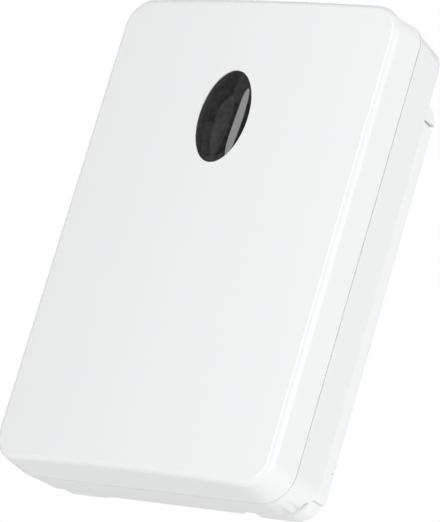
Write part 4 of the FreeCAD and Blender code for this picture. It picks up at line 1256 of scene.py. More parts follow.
@dataclass
class RearHousing(CasePart):
    """Tapered rear shell with its tongue, hinge ears, sockets, bosses, towers and hook pocket."""

    tongue: float = 1.5
    tongue_inset: float = 1.4
    back_round: float = 0.5
    floor_round: float = 0.5
    edge_ease: float = 0.06
    recess_inner: float = 18.9
    recess_top: float = -48.9
    recess_length: float = 2.0
    recess_step: float = 1.4
    ear_inner: float = 24.5
    ear_outer: float = 34.3
    ear_foot: float = 35.0
    ear_height: float = 3.7
    ear_round: float = 0.48
    pin: Pair = (-2.35, 36.8)
    pin_radius: float = 1.2
    pin_length: float = 5.0
    socket: Triple = (3.0, 1.65, 5.4)
    board_seat: float = -9.9
    board_bosses: Tuple[Pair, ...] = ((27.6, 31.0), (17.0, -10.85))
    tower: Triple = (30.2, -1.45, -16.1)
    pocket: Four = (5.35, -48.4, -45.9, -8.75)
    pocket_wall: float = 1.2

    def build(self) -> None:
        """Models the housing and puts it on its body."""
        parts = [self._shell(), *self._ears(), *self._bosses()]
        (half, bottom, top, front), grow = self.pocket, self.pocket_wall
        box = bar((-half - grow, half + grow), (self.sizes.floor + 0.3, front - grow),
                  (bottom - grow, top + grow), 0.2)
        carved(box, self._pocket_room())
        housing = joined(parts + [box], "housing_shell")
        self.shop.place(shaded(housing), "gloss_white", "rear_housing")

    def _shell(self) -> Piece:
        """Lofts the shell from its back to its floor and rounds its back edge.

        Returns:
            The shell.
        """
        sizes = self.sizes
        tip = sizes.split - self.tongue
        shell = lofted("housing_shell", [
            sizes.housing_outline(0.0, sizes.back),
            sizes.housing_outline(0.0, sizes.split + sizes.shut_line),
            sizes.outline(sizes.shut_depth, sizes.split + sizes.shut_line - 0.01),
            sizes.outline(sizes.shut_depth, sizes.split),
            sizes.outline(self.tongue_inset, sizes.split - 0.01),
            sizes.outline(self.tongue_inset, tip),
            sizes.outline(sizes.wall, tip - 0.01),
            sizes.outline(sizes.wall, sizes.split - 0.03),
            sizes.housing_outline(sizes.wall, sizes.floor),
        ])
        rounded_edges(shell, at(sizes.back), self.back_round, 5)
        rounded_edges(shell, at(sizes.floor), self.floor_round, 3)
        rounded_edges(shell, at(sizes.split + sizes.shut_line), self.edge_ease)
        recesses = joined([self._foot_recess(side) for side in (-1, 1)], "recesses")
        return carved(shell, self._pocket_room(), recesses)

    def _pocket_room(self) -> Piece:
        """Models the cutter for the room of the hook pocket."""
        half, bottom, top, front = self.pocket
        return bar((-half, half), (self.sizes.back + 1, front), (bottom, top))

    def _foot_recess(self, side: int) -> Piece:
        """Models the cutter for the sloped gap round one foot of the plate.

        Args:
            side: 1 for the right foot, -1 for the left one.

        Returns:
            The cutter.
        """
        sizes = self.sizes
        front = sizes.back - self.recess_length
        cutter = bar(mirrored(side, self.recess_inner, sizes.width / 2 + 1), (front, sizes.back + 1),
                     (-sizes.height / 2 - 1, self.recess_top))
        kept = lofted("recess_core", [
            sizes.housing_outline(self.recess_step, sizes.back + 2),
            sizes.housing_outline(self.recess_step, sizes.back),
            sizes.housing_outline(-0.02, front),
            sizes.housing_outline(-0.02, front - 1),
        ])
        return carved(cutter, kept)

    def _ears(self) -> List[Piece]:
        """Spins the two quarter round ears, eases their outer edge and adds their pins.

        Returns:
            The ears and pins.
        """
        pieces = []
        depth = -self.sizes.back
        for side in (-1, 1):
            x0, x1 = mirrored(side, self.ear_inner, self.ear_outer)
            ear = primitive(
                bpy.ops.mesh.primitive_plane_add,
                ((x0 + x1) / 2 * MM, -(depth + 0.3) * MM, (self.ear_foot + self.ear_height / 2) * MM),
                ((x1 - x0) * MM, self.ear_height * MM, 1), (QUARTER, 0, 0), size=1)
            hub = (0, -depth * MM, self.ear_foot * MM)
            with editing(ear):
                bpy.ops.mesh.select_all(action="SELECT")
                bpy.ops.mesh.extrude_region_move(TRANSFORM_OT_translate={"value": (0, 0.3 * MM, 0)})
                bpy.ops.mesh.spin(steps=14, angle=QUARTER, center=hub, axis=(1, 0, 0))
                bpy.ops.mesh.select_all(action="SELECT")
                bpy.ops.mesh.remove_doubles(threshold=0.001 * MM)
                pick(ear, Pick.POINTS, lambda place: place.y > -depth + 0.001)
                bpy.ops.transform.resize(value=(1, depth / self.ear_height, 1), center_override=hub)
                bpy.ops.mesh.select_all(action="SELECT")
                bpy.ops.mesh.normals_make_consistent(inside=False)
            outer = side * self.ear_outer
            rounded_edges(ear, lambda place: near(place.x, outer, 0.01) and place.y > -depth - 0.01
                          and place.z > self.ear_foot + 0.01, self.ear_round, 4)
            start, end = self.ear_inner + 0.3, self.ear_inner - self.pin_length
            pin = cross_rod(self.pin_radius, side * (start + end) / 2, start - end, self.pin, 28)
            pieces += [ear, rounded_edges(pin, lambda place: near(place.x, side * end), 0.2)]
        return pieces

    def _bosses(self) -> List[Piece]:
        """Models the four sockets, the board's bosses and the panel's towers.

        Returns:
            The bosses.
        """
        floor = self.sizes.floor
        radius, bore, height = self.socket
        bosses = [collar(radius, bore, (floor + 0.3, floor - height), place, height)
                  for place in self.sizes.corners()]
        for side in (-1, 1):
            for index, (x, z) in enumerate(self.board_bosses):
                hole, depth = (1.0, 3.0) if index == 0 else (2.2, 0.01)
                bosses.append(collar(2.6, hole, (floor + 0.3, self.board_seat), (side * x, z), depth))
            x, z, seat = self.tower
            bosses.append(collar(2.7, 1.0, (floor + 0.3, seat), (side * x, z), 6.5))
        return bosses


@dataclass
class WallPlate(CasePart):
    """Shallow tray on the wall with its screw bosses, ribs, cradles and snap hook."""

    half_width: float = 34.3
    top: float = 34.75
    bottom: float = -51.7
    middle_bottom: float = -49.25
    corner: float = 5.9
    base: float = -2.0
    rim: float = 1.6
    edge_round: float = 0.6
    front_round: float = 0.4
    foot: float = 19.4
    foot_end: float = 1.0
    foot_top: float = -47.7
    foot_side: float = 33.1
    foot_slit: Pair = (0.35, 0.2)
    rim_notch: Triple = (0.3, 1.2, 0.6)
    ear_inner: float = 24.5
    slit_flare: float = 1.0
    screw_heights: Pair = (-36.0, 24.0)
    screw_bore: float = 2.25
    screw_boss: Pair = (5.0, 2.2)
    rib_heights: Triple = (-32.0, -6.0, 20.0)
    rib: Pair = (1.2, -3.8)
    cradle_x: Pair = (20.0, 24.0)
    pin: Pair = (-2.35, 36.8)
    pin_bore: float = 1.25
    cradle_front: float = -4.25
    hook: Four = (5.0, -46.25, 1.2, 6.4)
    barb: Triple = (-7.05, 0.6, 0.55)

    def build(self) -> None:
        """Models the plate and puts it on the wall."""
        tray = self._tray()
        plate = joined([tray, *self._bosses(), *self._ribs(), *self._cradles(), self._hook()], "plate_tray")
        self.shop.place(shaded(plate), "satin_white", "wall_plate", body=Body.PLATE)

    def _tray(self) -> Piece:
        """Lofts the tray, rounds its wall edge and cuts its notches.

        Returns:
            The tray.
        """
        middle, height = (self.top + self.bottom) / 2, self.top - self.bottom
        width, back, rim = 2 * self.half_width, self.sizes.back, self.rim
        tray = lofted("plate_tray", [
            Outline(width, height, self.corner, 0.0, middle, True),
            Outline(width, height, self.corner, back, middle, True),
            Outline(width - 2 * rim, height - 2 * rim, self.corner - rim, back - 0.01, middle, True),
            Outline(width - 2 * rim, height - 2 * rim, self.corner - rim, self.base, middle, True),
        ])
        rounded_edges(tray, at(0.0), self.edge_round, 4)
        rounded_edges(tray, at(back), self.front_round, 3, lambda place: place.z < self.top - 1)
        low = self.bottom - 1
        span = (-self.foot, self.foot)
        carved(tray, bar(span, (1, self.base - 0.6), (low, self.middle_bottom)),
               bar(span, (self.base, back - 1), (low, self.bottom + rim + 1)))
        for side in (-1, 1):
            carved(tray, *self._side_cutters(side))
        return carved(tray, *[rod(self.screw_bore, (1, -6), (0, height)) for height in self.screw_heights])

    def _side_cutters(self, side: int) -> List[Piece]:
        """Models the cutters for one side: rim notch, ear slit, stepped foot side, foot slit and foot end.

        Args:
            side: 1 for the right side, -1 for the left one.

        Returns:
            The cutters.
        """
        back, out, low = self.sizes.back, self.half_width + 1, self.bottom - 1
        height, depth, bite = self.rim_notch
        notch = self.bottom + 10.4
        wide, deep = self.foot_slit
        boxes = [
            ((self.half_width - bite, out), (1, -depth), (notch, notch + height)),
            ((self.ear_inner, out), (1, back - 0.5), (self.top - self.slit_flare, self.top + 1)),
            ((self.foot_side, out), (1, back - 1), (low, self.foot_top)),
            ((self.foot_side - deep, out), (1, back - 1), (self.foot_top - wide, self.foot_top)),
            ((self.foot - 1, self.foot + self.foot_end), (1, back - 1), (low, self.bottom + self.foot_end)),
        ]
        cutters = [bar(mirrored(side, *x), y, z) for x, y, z in boxes]
        with editing(cutters[1]):
            pick(cutters[1], Pick.POINTS, lambda place: place.y < back and place.z < self.top)
            bpy.ops.transform.translate(value=(0, 0, self.slit_flare * (1.5 - back) / (1 - back) * MM))
        end = (side * (self.foot + self.foot_end), self.bottom + self.foot_end)
        carved(cutters[4], rod(self.foot_end, (2, back - 2), end, 24))
        return cutters

    def _bosses(self) -> List[Piece]:
        """Models the two bored screw bosses.

        Returns:
            The bosses.
        """
        bosses = []
        radius, rise = self.screw_boss
        for height in self.screw_heights:
            boss = rod(radius, (self.base + 0.2, self.base - rise), (0, height), 48)
            carved(boss, rod(self.screw_bore, (2, -8), (0, height)))
            bosses.append(rounded_edges(boss, at(self.base - rise, 0.02), 0.25))
        return bosses

    def _ribs(self) -> List[Piece]:
        """Models the ribs of the tray.

        Returns:
            The ribs.
        """
        width, front = self.rib
        ribs = []
        for side in (-1, 1):
            x = side * self.foot
            ribs.append(bar((x - width / 2, x + width / 2), (self.base + 0.2, front),
                            (self.middle_bottom + width, self.top - 0.8), 0.1))
            span = mirrored(side, self.foot, self.half_width - self.rim / 2)
            for height in self.rib_heights:
                limits = (height - width / 2, height + width / 2)
                ribs.append(bar(span, (self.base + 0.2, front), limits, 0.1))
        return ribs

    def _cradles(self) -> List[Piece]:
        """Models the two open cradles for the hinge pins.

        Returns:
            The cradles.
        """
        cradles = []
        for side in (-1, 1):
            x = mirrored(side, *self.cradle_x)
            block = bar(x, (0, self.cradle_front), (self.top - self.rim, self.pin[1] + 1.2))
            bore = cross_rod(self.pin_bore, side * sum(self.cradle_x) / 2, 12.0, self.pin, 36)
            mouth = bar((x[0] - 1, x[1] + 1), (self.cradle_front - 1, self.pin[0] + self.pin_bore),
                        (self.pin[1], self.pin[1] + 3))
            cradles.append(carved(block, bore, mouth))
        return cradles

    def _hook(self) -> Piece:
        """Models the snap hook that reaches into the housing's pocket.

        Returns:
            The hook.
        """
        half, top, wall, reach = self.hook
        start, drop, taper = self.barb
        tip, under = self.base - reach, top - wall
        hook = bar((-half, half), (self.base + 0.5, tip), (under, top))
        with editing(hook):
            divide((0, start, 0), (0, 1, 0))
            pick(hook, Pick.FACES, lambda place: near(place.z, under) and place.y < start + 0.01)
            bpy.ops.mesh.extrude_region_move(TRANSFORM_OT_translate={"value": (0, 0, -drop * MM)})
            pick(hook, Pick.POINTS, lambda place: near(place.y, tip) and near(place.z, under - drop))
            bpy.ops.transform.translate(value=(0, 0, taper * MM))
        return hook


@dataclass(frozen=True)
class BoardSizes:
    """Levels and places that the parts inside the case share, in millimetres."""

    back: float = -9.9
    front: float = -11.5
    half_width: float = 32.4
    bottom: float = -13.45
    top: float = 48.0
    floor: float = -6.7
    panel: float = -17.7
    panel_back: float = -16.1
    controls: float = -1.45
    dial_x: float = 17.0
    button_x: float = 5.4
    window: float = 25.2
    screw_hole: float = 1.1
    cell_bore: Pair = (28.0, 3.0)
    lamp_bore: Pair = (19.8, 1.9)
    board_screw: Pair = (27.6, 31.0)
    panel_screw: Pair = (30.2, -1.45)
    holder_screw: Pair = (12.0, -27.5)


@dataclass
class BoardPart(Part):
    """Sub-assembly inside the case."""

    sizes: BoardSizes


@dataclass
class ControlPanel(BoardPart):
    """Panel over the lower half of the board, with its openings, scales and figures."""

    width: float = 66.4
    low: float = -13.65
    high: float = 10.75
    corner: float = 2.4
    skirt: float = 54.2
    skirt_wall: float = 1.3
    skirt_back: float = -11.8
    edge_round: float = 0.5
    dial_hole: float = 6.8
    button_hole: Triple = (7.5, 5.5, 1.55)
    tab_room: Triple = (-25.5, -23.9, -8.15)
    scale: Pair = (7.5, 8.4)
    figures: float = 9.9

    def build(self) -> None:
        """Models the panel and its printing."""
        panel = self._plate()
        self.shop.place(shaded(panel), "satin_white", "control_panel")
        ink = self._scale(-1, ("1", "2", "3", "4", "5")) + self._scale(1, ("2", "4", "6", "8", "10"))
        marks = joined(ink + self._signs(), "panel_marks")
        self.shop.place(shaded(marks, 30, False), "ink_grey")

    def _plate(self) -> Piece:
        """Lofts the plate with its skirt and cuts its openings.

        Returns:
            The plate.
        """
        sizes = self.sizes
        height, middle = self.high - self.low, (self.high + self.low) / 2
        inner = self.skirt - 2 * self.skirt_wall
        room, bend = height - 2 * self.skirt_wall, self.corner - self.skirt_wall
        panel = lofted("panel_plate", [
            Outline(self.width, height, self.corner, sizes.panel, middle),
            Outline(self.width, height, self.corner, sizes.panel_back, middle),
            Outline(self.skirt, height - 0.02, self.corner, sizes.panel_back - 0.01, middle),
            Outline(self.skirt, height - 0.02, self.corner, self.skirt_back, middle),
            Outline(inner, room, bend, self.skirt_back - 0.01, middle),
            Outline(inner, room, bend, sizes.panel_back, middle),
        ], steps=8)
        rounded_edges(panel, at(sizes.panel), self.edge_round, 4)
        cutters, span = [], (-8, -20)
        for side in (-1, 1):
            cutters.append(rod(self.dial_hole, span, (side * sizes.dial_x, sizes.controls), 96))
            cutters.append(rod(sizes.screw_hole, span, (side * sizes.panel_screw[0], sizes.controls), 32))
            hole = Outline(*self.button_hole, span[1], sizes.controls, across=side * sizes.button_x)
            cutters.append(hole.drawn("hole", span[0], 6))
        left, right, top = self.tab_room
        cutters.append(bar((left, right), (self.skirt_back + 1, -14.2), (self.low - 1, top)))
        return rounded_edges(carved(panel, joined(cutters, "openings")), self._rim, 0.2)

    def _rim(self, place: Vector) -> bool:
        """Tells whether a point lies on the front rim of an opening.

        Args:
            place: the point in millimetres.

        Returns:
            Whether it does.
        """
        sizes = self.sizes
        x, z = abs(place.x), place.z - sizes.controls
        wide, tall, _ = self.button_hole
        in_button = abs(x - sizes.button_x) < wide / 2 + 0.02 and abs(z) < tall / 2 + 0.02
        in_dial = near(math.hypot(x - sizes.dial_x, z), self.dial_hole, 0.03)
        return near(place.y, sizes.panel, 0.004) and (in_button or in_dial)

    def _ink(self) -> Pair:
        """Returns the depths between which the printing lies."""
        return self.sizes.panel + 0.03, self.sizes.panel - 0.04

    def _scale(self, side: int, figures: Sequence[str]) -> List[Piece]:
        """Prints the ticks and figures of one dial.

        Args:
            side: 1 for the right dial, -1 for the left one.
            figures: the five figures, from the lowest setting on.

        Returns:
            The printing.
        """
        sizes = self.sizes
        x, z = side * sizes.dial_x, sizes.controls
        first = bar((x - 0.13, x + 0.13), self._ink(), (z + self.scale[0], z + self.scale[1]))
        marks = ring_of(first, [30.0 * step for step in range(-4, 5) if step * side != -3], (x, z))
        for index, figure in enumerate(figures):
            angle = math.radians(60.0 * (index - 2))
            spot = (x + self.figures * math.sin(angle), z + self.figures * math.cos(angle))
            marks.append(printed(figure, 2.1, spot, sizes.panel))
        return marks

    def _signs(self) -> List[Piece]:
        """Prints the small sun under the light level dial and the clock face under the time dial.

        Returns:
            The sun's rays and disc, and the clock's ring and hands.
        """
        x, z, ink = self.sizes.dial_x, self.sizes.controls - self.figures, self._ink()
        ray = bar((-x - 0.08, -x + 0.08), ink, (z + 0.75, z + 1.15))
        signs = ring_of(ray, [45.0 * step for step in range(8)], (-x, z)) + [rod(0.5, ink, (-x, z), 24)]
        back, front = ink
        face = [(0.82, back), (0.82, front), (1.02, front), (1.02, back)]
        return signs + [turned("ring", face, (x, 0, z), closed=True),
                        bar((x - 0.07, x + 0.07), ink, (z - 0.07, z + 0.62)),
                        bar((x - 0.07, x + 0.48), ink, (z - 0.07, z + 0.07))]


@dataclass
class Dials(BoardPart):
    """Two turning knobs with scalloped edges, a raised grip and a pointer line."""

    radius: float = 6.5
    thickness: float = 2.6
    proud: float = 1.2
    scallops: int = 14
    scallop: float = 0.7
    grip: Triple = (1.3, 4.68, 0.7)
    shaft: Pair = (2.0, 3.4)
    line: Pair = (0.3, 0.3)

    def build(self) -> None:
        """Models one knob with its pointer line and copies them."""
        knob, line = self._knob(), self._line()
        shift = (2 * self.sizes.dial_x, 0.0, 0.0)
        pairs = ((knob, line, Body.LUX_DIAL, "lux"),
                 (twin(knob, "time_knob", shift), twin(line, "time_line", shift), Body.TIME_DIAL, "time"))
        for piece, mark, body, name in pairs:
            self.shop.place(shaded(piece), "dial_grey", f"{name}_dial", body=body)
            self.shop.place(mark, "ink_white", body=body)

    def _knob(self) -> Piece:
        """Shapes the left knob.

        Returns:
            The knob.
        """
        sizes = self.sizes
        x, z, front = -sizes.dial_x, sizes.controls, sizes.panel - self.proud
        half, reach, rise = self.grip
        back = front + self.thickness
        knob = rod(self.radius, (back, front), (x, z), 112)
        rounded_edges(knob, at(front), 0.5, 4)
        far = self.radius + self.scallop / 2
        first = rod(self.scallop, (front + self.proud, front - 1), (x, z + far), 20)
        step = 360.0 / self.scallops
        cutters = ring_of(first, [step * (index + 0.5) for index in range(self.scallops)], (x, z))
        rounded_edges(carved(knob, joined(cutters, "scallops")), at(back), 0.15)
        tip = front - rise
        grip = bar((x - half, x + half), (front + 0.3, tip), (z - reach, z + reach))
        rounded_edges(grip, at(tip), 0.42, 4)
        wide, deep = self.line
        carved(grip, bar((x - wide, x + wide), (tip + deep, tip - 1), (z + self.radius / 5, z + self.radius)))
        radius, long = self.shaft
        shaft = rounded_edges(rod(radius, (back + long, front + 2.0), (x, z)), at(back + long), 0.2)
        return joined([knob, grip, shaft], "lux_knob")

    def _line(self) -> Piece:
        """Fills the left knob's groove with paint.

        Returns:
            The pointer line.
        """
        x, z, tip = -self.sizes.dial_x, self.sizes.controls, self.sizes.panel - self.proud - self.grip[2]
        wide, deep = self.line
        line = bar((x - wide + 0.02, x + wide - 0.02), (tip + deep + 0.1, tip + deep - 0.06),
                   (z + self.radius / 5 + 0.02, z + self.grip[1] - 0.1), 0.02)
        return joined([line], "lux_line")


@dataclass
class Buttons(BoardPart):
    """Two push buttons with their words."""

    cap: Triple = (7.0, 5.0, 1.3)
    flange: float = 1.0
    flange_back: float = -15.0
    front: float = -18.6

    def build(self) -> None:
        """Models one cap, copies it and prints the words."""
        sizes, (wide, tall, bend) = self.sizes, self.cap
        x, z, far = -sizes.button_x, sizes.controls, 2 * self.flange
        cap = lofted("on_cap", [
            Outline(wide + far, tall + far, bend + self.flange, self.flange_back, z, across=x),
            Outline(wide + far, tall + far, bend + self.flange, sizes.panel_back, z, across=x),
            Outline(wide, tall, bend, sizes.panel_back - 0.01, z, across=x),
            Outline(wide, tall, bend, self.front, z, across=x),
        ], steps=6)
        rounded_edges(cap, at(self.front), 0.5, 4)
        other = twin(cap, "off_cap", (2 * sizes.button_x, 0, 0))
        for piece, side, word, body in ((cap, -1, "ON", Body.ON_BUTTON), (other, 1, "OFF", Body.OFF_BUTTON)):
            self.shop.place(shaded(piece), "button_grey", f"{word.lower()}_button", body=body)
            mark = printed(word, 2.3, (side * sizes.button_x, z), self.front)
            mark = joined([mark], f"{word.lower()}_word")
            self.shop.place(mark, "ink_white", body=body)


@dataclass
class Screws(BoardPart):
    """Pan head screws with a cross recess, one shape in three lengths."""

    shank: float = 0.95
    head: Pair = (1.9, 1.3)
    recess: Triple = (1.14, 0.55, 0.6)

    def build(self) -> None:
        """Models one screw for each length and sets out the pairs."""
        sizes = self.sizes
        sets = (("board_screws", sizes.front, 5.0, sizes.board_screw),
                ("panel_screws", sizes.panel, 6.5, sizes.panel_screw),
                ("holder_screws", sizes.floor - 1.0, 1.73, sizes.holder_screw))
        for name, seat, length, (x, z) in sets:
            left = self._screw(seat, length, (-x, z))
            pair = joined([left, twin(left, "right", (2 * x, 0, 0))], name + "_pair")
            self.shop.place(shaded(pair), "zinc_steel", name)

    def _screw(self, seat: float, length: float, place: Pair) -> Piece:
        """Turns one screw and cuts its recess.

        Args:
            seat: the depth on which its head sits.
            length: the length of its shank.
            place: where it lies across and up.

        Returns:
            The screw.
        """
        radius, rise = self.head
        profile = [(0.0, -rise), (radius * 0.72, -rise)]
        profile += arc((radius * 0.72, -rise / 2), (radius * 0.28, -rise / 2), (22.5, 45.0, 67.5, 90.0))
        profile += [(radius, 0.0), (self.shank, 0.0), (self.shank, length * 0.35)]
        ridges = max(1, int(length * 0.6 / 0.5))
        for ridge in range(ridges):
            start = length * 0.35 + ridge * 0.5
            profile += [(self.shank - 0.14, start + 0.1), (self.shank, start + 0.25)]
        profile += [(self.shank * 0.5, length), (0.0, length)]
        screw = turned("screw", profile, (place[0], seat, place[1]), steps=36)
        reach, slot, deep = self.recess
        front = seat - rise
        (x, z), y = place, (front + deep, front - 1)
        cross = [bar((x - reach, x + reach), y, (z - slot / 2, z + slot / 2)),
                 bar((x - slot / 2, x + slot / 2), y, (z - reach, z + reach))]
        return carved(screw, carved(*cross, operation="UNION"))


@dataclass
class MainBoard(BoardPart):
    """Circuit board with its notches, pads, tracks and soldered joints."""

    corner: float = 1.0
    cut: Pair = (24.0, 40.4)
    notch: float = 3.1
    chip: Four = (-17.6, 24.0, 3.35, 1.27)
    radio: Pair = (18.6, 24.6)
    antenna: Pair = (13.05, 44.2)

    def build(self) -> None:
        """Models the board and what is printed and soldered on it."""
        self.shop.place(shaded(self._board()), "board_green", "circuit_board")
        copper = joined(self._tracks(), "board_tracks")
        self.shop.place(copper, "track_green")
        pads = joined(self._pads(), "board_pads")
        self.shop.place(shaded(pads), "tin")
        legend = joined(self._legend(), "board_legend")
        self.shop.place(legend, "ink_white")

    def _board(self) -> Piece:
        """Cuts the board's outline and holes.

        Returns:
            The board.
        """
        sizes = self.sizes
        height, middle = sizes.top - sizes.bottom, (sizes.top + sizes.bottom) / 2
        outline = Outline(2 * sizes.half_width, height, self.corner, sizes.back, middle)
        board = outline.drawn("main_board", sizes.front, 5)
        span = (sizes.back + 1, sizes.front - 1)
        cutters = []
        for side in (-1, 1):
            edge, (x, z), (across, up) = sizes.half_width + 1, sizes.panel_screw, sizes.board_screw
            cutters.append(bar(mirrored(side, self.cut[0], edge), span, (self.cut[1], sizes.top + 1)))
            slot = bar(mirrored(side, x, edge), span, (z - self.notch, z + self.notch))
            cutters.append(carved(slot, rod(self.notch, span, (side * x, z)), operation="UNION"))
            cutters.append(rod(sizes.screw_hole, span, (side * across, up), 32))
        return carved(board, joined(cutters, "cutters"))

    def _tracks(self) -> List[Piece]:
        """Lays the copper tracks under the green coat.

        Returns:
            The tracks.
        """
        x, z, reach, pitch = self.chip
        right, left = x + reach + 0.6, x - reach - 0.6
        lead = [z + (index - 3.5) * pitch for index in range(8)]
        paths = [
            [(right, lead[7]), (-12.4, lead[7]), (-11.0, 30.3), (-7.2, 30.3)],
            [(right, lead[6]), (-9.6, lead[6]), (-8.2, 28.6), (-6.6, 28.6)],
            [(right, lead[5]), (-9.3, lead[5]), (-7.6, 24.2), (-6.8, 22.4), (-6.8, 20.4)],
            [(right, lead[4]), (-10.0, lead[4]), (-8.4, 23.0), (-8.4, 15.2), (-6.0, 12.8), (-6.0, 9.0)],
            [(right, lead[3]), (-11.2, lead[3]), (-9.8, 21.8), (-9.8, 14.6), (-8.0, 12.8), (-8.0, 9.0)],
            [(right, lead[2]), (-12.4, lead[2]), (-11.2, 20.6), (-11.2, 9.0)],
            [(left, lead[7]), (-24.4, lead[7]), (-26.0, 30.2), (-26.0, 34.0), (-24.0, 36.6)],
            [(left, lead[1]), (-25.4, lead[1]), (-27.0, 19.2), (-27.0, 12.0)],
            [(left, lead[0]), (-24.6, lead[0]), (-25.6, 18.4), (-25.6, 12.0)],
            [(6.6, 30.4), (9.2, 33.0), (20.0, 33.0), (22.6, 35.6), (22.6, 38.0)],
            [(6.8, 19.6), (9.0, 17.4), (11.6, 17.4), (12.9, 16.2)],
            [(14.79, 18.4), (14.79, 16.4), (13.4, 15.0)], [(17.33, 18.4), (17.33, 15.2)],
            [(19.87, 18.4), (19.87, 15.2)], [(22.41, 18.4), (22.41, 16.4), (23.8, 15.0)],
            [(13.05, 44.2), (10.2, 38.8), (3.8, 36.2)], [(-13.05, 44.2), (-10.4, 39.0), (-3.8, 36.2)],
            [(-2.0, 35.2), (-0.8, 35.2)], [(0.8, 35.2), (2.0, 35.2)],
            [(24.0, 33.2), (25.4, 33.2), (29.4, 29.2), (29.4, 14.0)],
            [(-14.2, 36.6), (-12.2, 38.6), (-6.0, 38.6)],
        ]
        return tracks(paths, 0.34, self.sizes.front)

    def _pads(self) -> List[Piece]:
        """Sets out the tinned pads, the screw rings, the through holes and the solder beads.

        Returns:
            The pads.
        """
        front, hole = self.sizes.front, self.sizes.screw_hole
        x, z, reach, pitch = self.chip
        first = bar((x - reach - 0.75, x - reach + 0.65), (front + 0.05, front - 0.035),
                    (z - 3.5 * pitch - 0.3, z - 3.5 * pitch + 0.3))
        pads = set_out(first, [(shift, index * pitch) for index in range(8)
                               for shift in (0, 2 * reach + 0.1)])
        x, z = self.sizes.board_screw
        ring = [(hole, front + 0.05), (hole, front - 0.03), (2.5, front - 0.03), (2.5, front + 0.05)]
        pads += [turned("ring", ring, (side * x, 0, z), closed=True) for side in (-1, 1)]
        bead = [(0.0, -0.75), (0.42, -0.7), (0.55, -0.4), (0.8, -0.14), (1.05, -0.03), (1.05, 0.05),
                (0.0, 0.05)]
        x, z = self.antenna
        pads += set_out(turned("bead", bead, (0, front, 0), steps=24),
                        [(-x, z), (x, z), (-13.6, 35.6), (-13.6, 37.6)])
        via = turned("via", [(0.18, 0.05), (0.18, -0.036), (0.42, -0.036), (0.42, 0.05)], (0, front, 0),
                     closed=True, steps=20)
        vias = [(-7.2, 30.3), (-6.6, 28.6), (-6.8, 20.4), (6.6, 30.4), (6.8, 19.6), (22.6, 38.0),
                (29.4, 14.0), (24.0, 33.2), (-26.0, 40.0), (-6.0, 38.6), (9.6, 22.6), (9.6, 27.4),
                (-27.0, 12.0), (-25.6, 12.0)]
        return pads + set_out(via, vias)

    def _legend(self) -> List[Piece]:
        """Prints the outlines of the parts on the board.

        Returns:
            The white lines.
        """
        x, z, _, _ = self.chip
        left, low = self.radio[0] - 8.1, self.radio[1] - 7.1
        right, high = self.radio[0] + 8.1, self.radio[1] + 7.1
        lines = [
            [(x - 2.3, z + 5.9), (x + 2.3, z + 5.9)], [(x - 2.3, z - 5.9), (x + 2.3, z - 5.9)],
            [(left, low), (right, low), (right, high), (left, high), (left, low)],
            [(-23.6, 33.4), (-14.4, 33.4)], [(-23.6, 39.8), (-14.4, 39.8)],
        ]
        return tracks(lines, 0.16, self.sizes.front, 0.02)


@dataclass
class ChipParts(BoardPart):
    """Small resistors and capacitors with tinned ends, and the microcontroller's body."""

    length: float = 1.6
    width: float = 0.8
    height: float = 0.5
    end: float = 0.3
    chip: Pair = (-17.6, 24.0)
    chip_half: Pair = (2.6, 5.0)
    chip_levels: Pair = (-11.65, -13.25)

    def build(self) -> None:
        """Models one chip part and the microcontroller, and sets out the parts."""
        front, half, wide = self.sizes.front, self.length / 2, self.width / 2
        body = bar((-half + self.end, half - self.end), (front, front - self.height + 0.03),
                   (-wide, wide), 0.03)
        cap = bar((-half, -half + self.end), (front, front - self.height), (-wide, wide), 0.04)
        caps = joined([cap, twin(cap, "cap", (self.length - self.end, 0, 0))], "caps")
        spots = {"chip_parts": ("moulded_black", []), "chip_capacitors": ("ceramic_tan", [])}
        for index in range(3):
            step = (index - 1) * 2.8
            spots["chip_parts"][1].extend([(-23.8, 24.0 + step), (18.6 + 2 * step, 14.5)])
            spots["chip_capacitors"][1].extend([(-11.4, 26.8 + step), (step, 35.2)])
        ends = []
        for name, (finish, places) in spots.items():
            parts = joined(set_out(body, places, keep=True), name + "_bodies")
            ends += set_out(caps, places, keep=True)
            if name == "chip_parts":
                self.shop.place(parts, finish, name)
            else:
                self.shop.place(parts, finish)
        for spare in (body, caps):
            bpy.data.objects.remove(spare)
        self.shop.place(joined(ends, "chip_ends"), "tin")
        self.shop.place(shaded(self._controller(), 30), "moulded_black", "main_chip")

    def _controller(self) -> Piece:
        """Models the microcontroller's package with its first pin's dimple.

        Returns:
            The package.
        """
        (x, z), (wide, long), (back, front) = self.chip, self.chip_half, self.chip_levels
        package = bar((x - wide, x + wide), (back, front), (z - long, z + long))
        rounded_edges(package, at(front), 0.25, 1)
        carved(package, rod(0.5, (front + 0.15, front - 1), (x - wide + 1.2, z + long - 1.2), 28))
        return joined([package], "controller")


